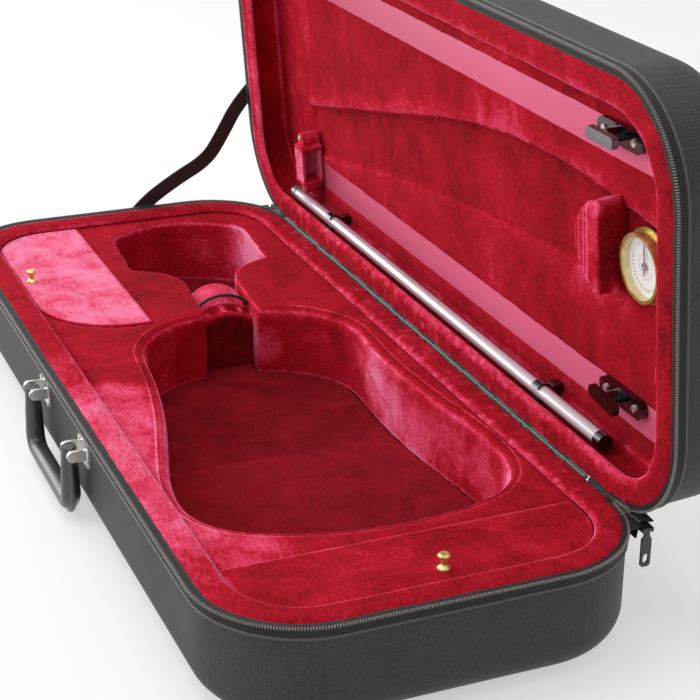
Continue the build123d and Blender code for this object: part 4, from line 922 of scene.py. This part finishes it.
def bowed_curve(name, points, radius=0.0):
    """A smooth curve object drawn towards points, from the first to the last, round if it has a radius."""
    curve = bpy.data.curves.new(name, "CURVE")
    curve.dimensions = "3D"
    curve.bevel_depth = radius
    curve.bevel_resolution = 4
    curve.use_fill_caps = True
    spline = curve.splines.new("NURBS")
    spline.points.add(len(points) - 1)
    for point, place in zip(spline.points, points):
        point.co = (*place, 1)
    spline.order_u = 3
    spline.use_endpoint_u = True
    spline.resolution_u = 10
    return linked(name, curve)


# Braided elastic is nearly black, with a faint slanting braid and only a low shine.
elastic = twisted_yarn("braided elastic cord", "#0A0909", "#262322", BRAID_MM, {"Roughness": 0.55})
cord = to_mesh(bowed_curve("elastic_neck_cord", [Vector(place) * MM for place in CORD_ROUTE], CORD_R))
cord.data.materials.append(elastic)
finish_piece(cord, "base", smooth=60)
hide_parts("neck_cord")


# Neck pad in the lid: a half-round foam block in velvet, with three sewn lines round its curved side,
# its cloth pinched at the top and tucked in at the lower end.
SEWN_BACK = (7.0, 13.0, 18.0)
pad = soft_copy("neck_pad", "velvet_neck_pad", 1.3 * MM, 3)
pad.data.transform(in_tub.inverted())
places, normals = points_of(pad)
facing = normals[:, 2] > 0.5
behind = (places[:, 0].max() - places[:, 0]) / MM
sewn = np.min([np.abs(behind - line) for line in SEWN_BACK], axis=0)
ends = np.minimum(np.abs(places[:, 1] - places[:, 1].min()), np.abs(places[:, 1] - places[:, 1].max()))
pinched = np.clip((14 * MM - ends) / (12 * MM), 0, 1)
fold = waves(places * np.array((1, 0.5, 1)), 8 * MM, 10)
# Painted light on the pad: a painted highlight on its upper face and on the raised folds of its pinched
# ends, painted shade on its sides that face along the case, and the crease's painted highlight line along
# each sewn line.
tone = 0.42 + 0.12 * facing + 0.42 * pinched * np.clip(fold + 0.35, 0, 1)
tone -= 0.2 * np.clip((np.abs(normals[:, 0]) - 0.55) / 0.2, 0, 1) * (1 - pinched)
store_pile_sheen_and_shade(pad, tone, np.where(facing, CREASE_HIGHLIGHT + sewn / 0.9, NO_EDGE))
push = -0.9 * MM * np.exp(-(sewn / 1.3) ** 2) * facing + 1.9 * MM * fold * (0.08 + pinched)
move_points(pad, places + normals * push[:, None])
pad.data.transform(in_tub)
finish_velvet(pad, "lid", crimson_velvet)


# Bow strips and tip holders: satin ribbon over board in the lining's grooves keeps the bows off the
# pile, and a velvet block at the end of each holds the bow's tip in a satin-lined slot.
SATIN_DARK = "#B23A59"
SATIN_PINK = "#E56A90"
SATIN_SHEEN = "#FFB0C8"
SATIN_THREAD_MM = (16.667, 0.7143, 0.7143)
SATIN_CLOUD_MM = 250.0
SATIN_SHEEN_RUN_X = (-0.32, 0.12)

# Polyester satin is smooth, half glossy pink, with fine threads along it, and is painted paler along the
# strip towards +x, a painted sheen.
satin, tree, shader = principled("polyester satin", {
    "Roughness": 0.5, "Specular IOR Level": 0.25, "Sheen Weight": 0.1, "Sheen Tint": srgb(SATIN_SHEEN),
})
cross = add(tree, "TexNoise", {"Vector": mapped(tree, SATIN_THREAD_MM), "Scale": 1.0, "Detail": 1.0})
slow = add(tree, "TexNoise", {"Vector": mapped(tree, SATIN_CLOUD_MM), "Scale": 1.0, "Detail": 2.0})
run = add(tree, "SeparateXYZ", {0: mapped(tree, 1000.0)})
painted_sheen_run = add(tree, "MapRange", {0: run.outputs["X"], 1: SATIN_SHEEN_RUN_X[0], 2: SATIN_SHEEN_RUN_X[1],
                              3: 0.0, 4: 0.75})
both = add(tree, "Math", {0: cross.outputs["Fac"], 1: 0.16, 2: painted_sheen_run.outputs[0]},
           operation="MULTIPLY_ADD")
both = add(tree, "Math", {0: slow.outputs["Fac"], 1: 0.2, 2: both.outputs[0]}, operation="MULTIPLY_ADD")
ramp = add(tree, "ValToRGB", {0: both.outputs[0]})
ramp.color_ramp.elements[0].color = srgb(SATIN_DARK)
ramp.color_ramp.elements[1].color = srgb(SATIN_PINK)
tree.links.new(ramp.outputs[0], shader.inputs["Base Color"])

for row in ("lower", "upper"):
    strip = solid_copy(f"bow_strip_{row}", f"satin_strip_{row}")
    weld(strip, lambda: bpy.ops.mesh.dissolve_limited(angle_limit=0.02))
    apply_new(strip, "BEVEL", width=0.3 * MM, segments=2, limit_method="ANGLE")
    strip.data.materials.append(satin)
    finish_piece(strip, "lid")
    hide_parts(f"bow_strip_{row}")

    holder = soft_copy(f"bow_tip_holder_{row}", f"velvet_bow_tip_holder_{row}", 1.0 * MM, 2)
    holder.data.transform(in_tub.inverted())
    places, normals = points_of(holder)
    middle_y = (places[:, 1].min() + places[:, 1].max()) / 2
    lobe = np.abs(places[:, 1] - middle_y) > 16 * MM
    # The holder's upper face between its lobes is painted pale pink, a painted sheen, and its lobes a
    # little lighter than its sides.
    store_pile_sheen_and_shade(holder, 0.4 + 0.42 * (normals[:, 2] > 0.6) * ~lobe + 0.12 * lobe)
    for polygon in holder.data.polygons:
        centre = polygon.center
        inner = abs(centre.y - middle_y) < 13.6 * MM and abs(polygon.normal.z) < 0.6
        polygon.material_index = int(inner)
    move_points(holder, places + normals * (0.35 * MM * waves(places, 7 * MM, 11) * lobe)[:, None])
    holder.data.transform(in_tub)
    holder.data.materials.append(crimson_velvet)
    holder.data.materials.append(satin)
    finish_piece(holder, "lid", smooth=180)


# Stay strap: a narrow woven strap, sewn near the base's rim and high on the lid, that stops the lid.
# Its route's points are those of the solid strap.
STRAP_ROUTE = [(144, -24), (124, 0), (86, 24), (52, 41), (36, 65), (16, 100), (-12, 126)]
STRAP_W = 15 * MM
STRAP_T = 1.5 * MM
STRAP_DARK = "#171414"
STRAP_LIGHT = "#38302F"
strap_low, strap_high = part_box("stay_strap")
STRAP_X = (strap_low.x + strap_high.x) / 2

# Polyester webbing is brown-black, woven a little finer than the cover's cloth, and has no shine.
webbing = woven_nylon("woven polyester webbing", STRAP_DARK, STRAP_LIGHT, 1.6)
route_points = [(0, HINGE.y - back * MM, HINGE.z + up * MM) for back, up in STRAP_ROUTE]
route = bowed_curve("strap_route", route_points)
line = [v.co.copy() for v in route.to_mesh().vertices]
route.to_mesh_clear()
bpy.data.objects.remove(route)
bpy.ops.object.select_all(action="DESELECT")
bpy.ops.mesh.primitive_grid_add(x_subdivisions=6, y_subdivisions=len(line) - 1, size=1)
strap = bpy.context.active_object
strap.name = "woven_stay_strap"
for vertex in strap.data.vertices:
    at = (vertex.co.y + 0.5) * (len(line) - 1)
    before = min(int(at + 0.001), len(line) - 2)
    way = (line[min(before + 1, len(line) - 1)] - line[max(before - 1, 0)]).normalized()
    side = Vector((0, -way.z, way.y))
    near = line[min(round(at), len(line) - 1)]
    place = near + side * vertex.co.x * STRAP_W
    vertex.co = (STRAP_X, place.y, place.z)
apply_new(strap, "SOLIDIFY", thickness=STRAP_T, offset=0)
apply_new(strap, "BEVEL", width=0.3 * MM, segments=2, limit_method="ANGLE")
strap.data.materials.append(webbing)
alone(strap)
bpy.ops.object.shade_smooth_by_angle(angle=math.radians(40))
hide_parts("stay_strap")
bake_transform(strap)
for side in ("base", "lid"):
    anchor = soft_copy(f"strap_anchor_{side}", f"{side}_strap_anchor_tab", 0.8 * MM, 1)
    anchor.data.materials.append(webbing)
    finish_piece(anchor, side)


# Zip gussets: black zip cloth, sewn in where each end of the zip meets the hinge. A flat flap carries
# the zip's end, and a loose fold bridges the two halves beyond the hinge.
# The fold's section: how far along it lies from the hinge's axis and how far it stands out.
GUSSET_FOLD = [
    (-13.0, 0.4), (-8.0, 0.6), (-3.2, 1.6), (-1.0, 2.7), (1.0, 2.7), (3.2, 1.6), (8.0, 0.6), (13.0, 0.4),
]
FOLD_T = 0.8 * MM
FOLD_END_X = 0.367
HINGE_END_X = (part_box("hinge_pin")[0].x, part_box("hinge_pin")[1].x)
FOLDS = [
    ("left", -FOLD_END_X, HINGE_END_X[0] - 1.5 * MM),
    ("right", HINGE_END_X[1] + 1.5 * MM, FOLD_END_X),
]
gusset = solid_copy("zip_gussets", "zip_gusset_cloth")
gusset.data.materials.append(zip_tape)
finish_piece(gusset, "base")
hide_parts("zip_gussets")
for name, start, end in FOLDS:
    bpy.ops.object.select_all(action="DESELECT")
    bpy.ops.mesh.primitive_grid_add(x_subdivisions=24, y_subdivisions=len(GUSSET_FOLD) - 1, size=1)
    fold = bpy.context.active_object
    fold.name = f"{name}_hinge_gusset_fold"
    for vertex in fold.data.vertices:
        number = round((vertex.co.y + 0.5) * (len(GUSSET_FOLD) - 1))
        run, out = GUSSET_FOLD[number]
        x = start + (vertex.co.x + 0.5) * (end - start)
        out += 0.5 * noise.noise(Vector((x / 0.012, number * 0.7, 3))) - 1.6
        y = out if run < 0 else run
        z = run if run < 0 else out
        vertex.co = (x, HINGE.y + y * MM, HINGE.z + z * MM)
    apply_new(fold, "SOLIDIFY", thickness=FOLD_T, offset=0)
    apply_new(fold, "SUBSURF", levels=1, render_levels=1)
    fold.data.materials.append(zip_tape)
    alone(fold)
    bpy.ops.object.shade_smooth()
    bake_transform(fold)


# Carrying handle: two faces of grained leather cloth sewn round a core, thick along the hand's side and
# thin at its stitched outer edge. Its two ends turn on the bracket pins.
GRIP_SECTION = [
    (-7.8, 0), (-7.3, 3.4), (-5.6, 6.0), (-2.6, 7.5), (0.6, 7.4), (3.4, 5.8), (5.4, 3.4),
    (6.4, 1.9), (8.0, 1.6), (8.5, 0.8), (8.5, -0.8), (8.0, -1.6), (6.4, -1.9), (5.4, -3.4),
    (3.4, -5.8), (0.6, -7.4), (-2.6, -7.5), (-5.6, -6.0), (-7.3, -3.4),
]
GRIP_BEND = 13 * MM
STITCH_PITCH = 4.2 * MM
STITCH_SIZE = (2.6 * MM, 0.7 * MM, 0.5 * MM)
STITCH_OUT = 7.2 * MM
STITCH_LEVEL = 1.7 * MM
LEATHER_DARK = "#1A1A1C"
LEATHER_LIGHT = "#36363A"
LEATHER_GRAIN_MM = 1.25
LEATHER_WORN_MM = 20.0
THREAD_DARK = "#2C2B2C"
THREAD_LIGHT = "#77747A"
THREAD_TWIST_MM = 0.6981
LEG_HALF = 8.6 * MM
pin_low, pin_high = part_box("handle_pins")
grip_low, grip_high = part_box("handle_grip")
GRIP_Y = (pin_low.y + pin_high.y) / 2
LEG_X = (grip_low.x + LEG_HALF, grip_high.x - LEG_HALF)
BAR_Z = grip_low.z + LEG_HALF

# Grained leather cloth is near black and pebbled, with a waxy coat that the hand has polished unevenly.
leather, tree, shader = principled("grained leather cloth", {"Coat Weight": 0.5, "Coat Roughness": 0.34})
grain = add(tree, "TexVoronoi", {"Vector": mapped(tree, LEATHER_GRAIN_MM), "Scale": 1.0})
worn = add(tree, "TexNoise", {"Vector": mapped(tree, LEATHER_WORN_MM), "Scale": 1.0, "Detail": 3.0})
ramp = add(tree, "ValToRGB", {0: grain.outputs["Distance"]})
ramp.color_ramp.elements[0].color = srgb(LEATHER_DARK)
ramp.color_ramp.elements[1].color = srgb(LEATHER_LIGHT)
tree.links.new(ramp.outputs[0], shader.inputs["Base Color"])
bump = add(tree, "Bump", {"Height": grain.outputs["Distance"], "Strength": 0.2, "Distance": 0.0004})
tree.links.new(bump.outputs[0], shader.inputs["Normal"])
polish = add(tree, "MapRange", {0: worn.outputs["Fac"], 3: 0.36, 4: 0.5})
tree.links.new(polish.outputs[0], shader.inputs["Roughness"])


def grip_line(out, top):
    """Points down one leg, along the bar and up the other, in plan, shifted outwards from the middle."""
    radius = GRIP_BEND + out
    left, right = LEG_X[0] - out, LEG_X[1] + out
    low = BAR_Z - out
    points = [(left, top - 10 * MM * step) for step in range(3)]
    points += [
        (left + radius - radius * math.cos(a), low + radius - radius * math.sin(a))
        for a in (math.pi / 2 * step / 8 for step in range(9))
    ]
    points += [(left + radius + (right - left - 2 * radius) * step / 6, low) for step in range(1, 6)]
    points += [
        (right - radius + radius * math.sin(a), low + radius - radius * math.cos(a))
        for a in (math.pi / 2 * step / 8 for step in range(9))
    ]
    return points + [(right, top - 10 * MM * (2 - step)) for step in range(3)]


outline_2d = bpy.data.curves.new("grip_section", "CURVE")
spline = outline_2d.splines.new("POLY")
spline.points.add(len(GRIP_SECTION) - 1)
for point, (across, thick) in zip(spline.points, GRIP_SECTION):
    point.co = (across * MM, thick * MM, 0, 1)
spline.use_cyclic_u = True
section = linked("grip_section", outline_2d)
curve = bpy.data.curves.new("grip_line", "CURVE")
curve.dimensions = "2D"
curve.fill_mode = "NONE"
curve.bevel_mode = "OBJECT"
curve.bevel_object = section
curve.use_fill_caps = True
line = grip_line(0, (pin_low.z + pin_high.z) / 2 + 4 * MM)
spline = curve.splines.new("POLY")
spline.points.add(len(line) - 1)
for point, (x, z) in zip(spline.points, line):
    point.co = (x, z, 0, 1)
    point.radius = 1 - 0.2 * min(max((z - BAR_Z - 22 * MM) / (24 * MM), 0), 1)
grip = to_mesh(linked("leather_handle_grip", curve))
bpy.data.objects.remove(section)
STAND_UP = Matrix(((1, 0, 0, 0), (0, 0, -1, GRIP_Y), (0, 1, 0, 0), (0, 0, 0, 1)))
weld(grip, lambda: bpy.ops.mesh.normals_make_consistent(inside=False))
grip.data.materials.append(leather)
finish_piece(grip, "handle", STAND_UP, 50)
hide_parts("handle_grip")

# Waxed linen thread is a grey twist that stands out as short dashes on the dark leather.
thread = twisted_yarn("waxed linen thread", THREAD_DARK, THREAD_LIGHT, THREAD_TWIST_MM, {"Roughness": 0.5})
for side, level in (("front", STITCH_LEVEL), ("back", -STITCH_LEVEL)):
    stitch = bar(f"{side}_grip_stitches", STITCH_SIZE, 0.2 * MM, 1)
    line = [Vector((x, z, level)) for x, z in grip_line(STITCH_OUT, pin_low.z - 12 * MM)]
    stitch = along(stitch, line, STITCH_PITCH)
    stitch.data.materials.append(thread)
    finish_piece(stitch, "handle", STAND_UP)


# Hard fittings: the hinge, brackets, pins, rivets, screws, knobs, clips, zip slider and pull, and the
# hygrometer's ring and needle. They keep the shapes they are pressed, turned or moulded in, and each
# takes the finish of its metal or plastic. The stained ply shells lie under the covers.
def plain_finish(name, dark, light, rough, metal, grain_mm, bump_mm=0.0, coat=0.0):
    """A hard finish: fine grain in its colour and roughness, and a slight unevenness."""
    material, tree, shader = principled(name, {"Metallic": metal, "Coat Weight": coat})
    grain = add(tree, "TexNoise", {"Vector": mapped(tree, grain_mm), "Scale": 1.0, "Detail": 3.0})
    ramp = add(tree, "ValToRGB", {0: grain.outputs["Fac"]})
    ramp.color_ramp.elements[0].position = 0.3
    ramp.color_ramp.elements[0].color = srgb(dark)
    ramp.color_ramp.elements[1].position = 0.7
    ramp.color_ramp.elements[1].color = srgb(light)
    tree.links.new(ramp.outputs[0], shader.inputs["Base Color"])
    uneven = add(tree, "MapRange", {0: grain.outputs["Fac"], 3: rough * 0.8, 4: rough * 1.2})
    tree.links.new(uneven.outputs[0], shader.inputs["Roughness"])
    if bump_mm:
        bump = add(tree, "Bump", {"Height": grain.outputs["Fac"], "Strength": 0.3,
                                  "Distance": bump_mm * MM})
        tree.links.new(bump.outputs[0], shader.inputs["Normal"])
    return material


# Nickel plate on pressed steel: bright and faintly warm, with a soft mirror.
chrome = plain_finish("nickel plated steel", "#D6D3CF", "#ECE9E5", 0.24, 0.75, 14.0)
# Lacquered brass, turned: pale yellow with a soft gleam.
brass = plain_finish("lacquered brass", "#CDAE58", "#F2E09A", 0.26, 0.75, 9.0)
# Zinc plate on rolled steel: a dull greenish grey that barely shines.
steel = plain_finish("rolled zinc plated steel", "#3E4643", "#66706B", 0.45, 0.7, 0.8, 0.02)
# Stove enamel on cast zinc: black, with a smooth gloss.
black_metal = plain_finish("black enamelled zinc", "#121213", "#242426", 0.28, 0.0, 2.0, 0.02, 0.3)
# Moulded nylon in black and in grey: even colour under a clear gloss. The grey stands on the fixed tube
# cap, and on the upper clip bar as a painted reflection, that bar being the same black nylon as the lower
# one.
black_gloss = plain_finish("black moulded nylon", "#09090A", "#131315", 0.16, 0.0, 3.0, 0.005, 0.6)
grey_nylon_and_painted_reflection = plain_finish("grey moulded nylon", "#66676A", "#7C7E82", 0.3, 0.3, 6.0, 0.0, 0.4)
# Stained plywood: dark brown and dry, with its grain drawn out along the case.
PLY_GRAIN_MM = (60.0, 6.0, 6.0)
plywood = plain_finish("plywood stained dark", "#1A1210", "#2E201C", 0.7, 0.0, PLY_GRAIN_MM, 0.05)

# Hygrometer dial: a white card set in the brass ring, printed with a thin ring, short marks round
# the scale and a brown middle. The card is flat and unglossed, and its print reads as fine brown lines.
DIAL_TICKS = 40
DIAL_R = 0.0235
# Each ring's place as a share of the dial's radius, and how dark it is printed.
DIAL_RINGS = [
    (0.1, 1.0), (0.13, 0.0), (0.36, 0.0), (0.37, 0.5), (0.39, 0.5), (0.4, 0.0), (0.93, 0.0), (0.95, 0.35),
]
dial_card, tree, shader = principled("printed white card", {"Roughness": 0.4})
dial_low, dial_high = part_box("hygrometer_dial")
centre = (dial_low + dial_high) / 2
spot = add(tree, "TexCoord").outputs["Object"]
spot = add(tree, "VectorMath", {0: spot, 1: centre}, operation="SUBTRACT").outputs[0]
parts = add(tree, "SeparateXYZ", {0: spot})
radius = add(tree, "VectorMath", {0: spot}, operation="LENGTH").outputs["Value"]
angle = add(tree, "Math", {0: parts.outputs["Z"], 1: parts.outputs["X"]}, operation="ARCTAN2")
turn = add(tree, "Math", {0: angle.outputs[0], 1: DIAL_TICKS}, operation="MULTIPLY")
tick = add(tree, "Math", {0: turn.outputs[0]}, operation="SINE")
tick = add(tree, "Math", {0: tick.outputs[0], 1: 0.55}, operation="GREATER_THAN")
printed = add(tree, "MapRange", {0: radius, 1: 0.0, 2: DIAL_R})
rings = add(tree, "ValToRGB", {0: printed.outputs[0]})
for position, shade in DIAL_RINGS:
    mark = rings.color_ramp.elements.new(position)
    mark.color = (shade, shade, shade, 1)
rings.color_ramp.elements[0].color = (1, 1, 1, 1)
scale_band = add(tree, "Math", {0: printed.outputs[0], 1: 0.72, 2: 0.05}, operation="COMPARE")
marks = add(tree, "Math", {0: tick.outputs[0], 1: scale_band.outputs[0]}, operation="MULTIPLY")
ink = add(tree, "Math", {0: rings.outputs[0], 1: marks.outputs[0]}, operation="MAXIMUM")
ramp = add(tree, "ValToRGB", {0: ink.outputs[0]})
ramp.color_ramp.elements[0].color = srgb("#FFFFFF")
ramp.color_ramp.elements[1].color = srgb("#6E5240")
tree.links.new(ramp.outputs[0], shader.inputs["Base Color"])

# String tube and cover glass: the tube is extruded acrylic, pale with faint streaks along it, and its
# sides are painted red, a painted view of the velvet behind it. The glass is a thin clear disc that shows
# only as a light reflection.
TUBE_STREAK_MM = (83.333, 5.0, 5.0)
acrylic, tree, shader = principled("clear extruded acrylic tube", {
    "Roughness": 0.12, "Transmission Weight": 0.25, "IOR": 1.49, "Coat Weight": 0.6,
})
# Painted view through the tube: its colour turns red where its surface is seen at a slant.
side = add(tree, "LayerWeight", {"Blend": 0.5})
haze = add(tree, "TexNoise", {"Vector": mapped(tree, TUBE_STREAK_MM), "Scale": 1.0, "Detail": 1.0})
depth = add(tree, "Math", {0: haze.outputs["Fac"], 1: 0.12, 2: side.outputs["Facing"]},
            operation="MULTIPLY_ADD")
ramp = add(tree, "ValToRGB", {0: depth.outputs[0]})
ramp.color_ramp.elements[0].position = 0.5
ramp.color_ramp.elements[0].color = srgb("#D8D2D6")
ramp.color_ramp.elements[1].position = 0.95
ramp.color_ramp.elements[1].color = srgb("#8A3346")
between = ramp.color_ramp.elements.new(0.72)
between.color = srgb("#BF93A2")
tree.links.new(ramp.outputs[0], shader.inputs["Base Color"])
glass, tree, shader = principled("clear cover glass", {
    "Base Color": srgb("#F6F6F8"), "Roughness": 0.03, "Alpha": 0.14,
})

FINISHES = {
    "base_shell": plywood, "lid_shell": plywood,
    "left_pocket_knob": brass, "right_pocket_knob": brass, "hygrometer_housing": brass,
    "handle_brackets": chrome, "handle_pins": chrome, "handle_rivets": chrome,
    "handle_backing_plates": steel, "hinge_leaf_base": steel, "hinge_leaf_lid": steel, "hinge_pin": steel,
    "hinge_rivets_base": steel, "hinge_rivets_lid": steel,
    "zip_slider": black_metal, "zip_pull": black_metal,
    "bow_tip_holder_screws": chrome, "bow_clip_screws": chrome, "bow_clip_bases": black_gloss,
    # The upper clip bar's grey is a painted reflection of the lamps: it is the same black nylon as the
    # lower bar.
    "bow_clip_bar_lower": black_gloss, "bow_clip_bar_upper": grey_nylon_and_painted_reflection,
    "string_tube": acrylic, "tube_cap_fixed": grey_nylon_and_painted_reflection, "tube_cap_loose": black_gloss,
    "tube_clamps": black_gloss, "hygrometer_dial": dial_card, "hygrometer_needle": black_metal,
    "hygrometer_glass": glass,
}
for node, material in FINISHES.items():
    fitting = frame["nodes"][node]
    fitting.data.materials.clear()
    fitting.data.materials.append(material)
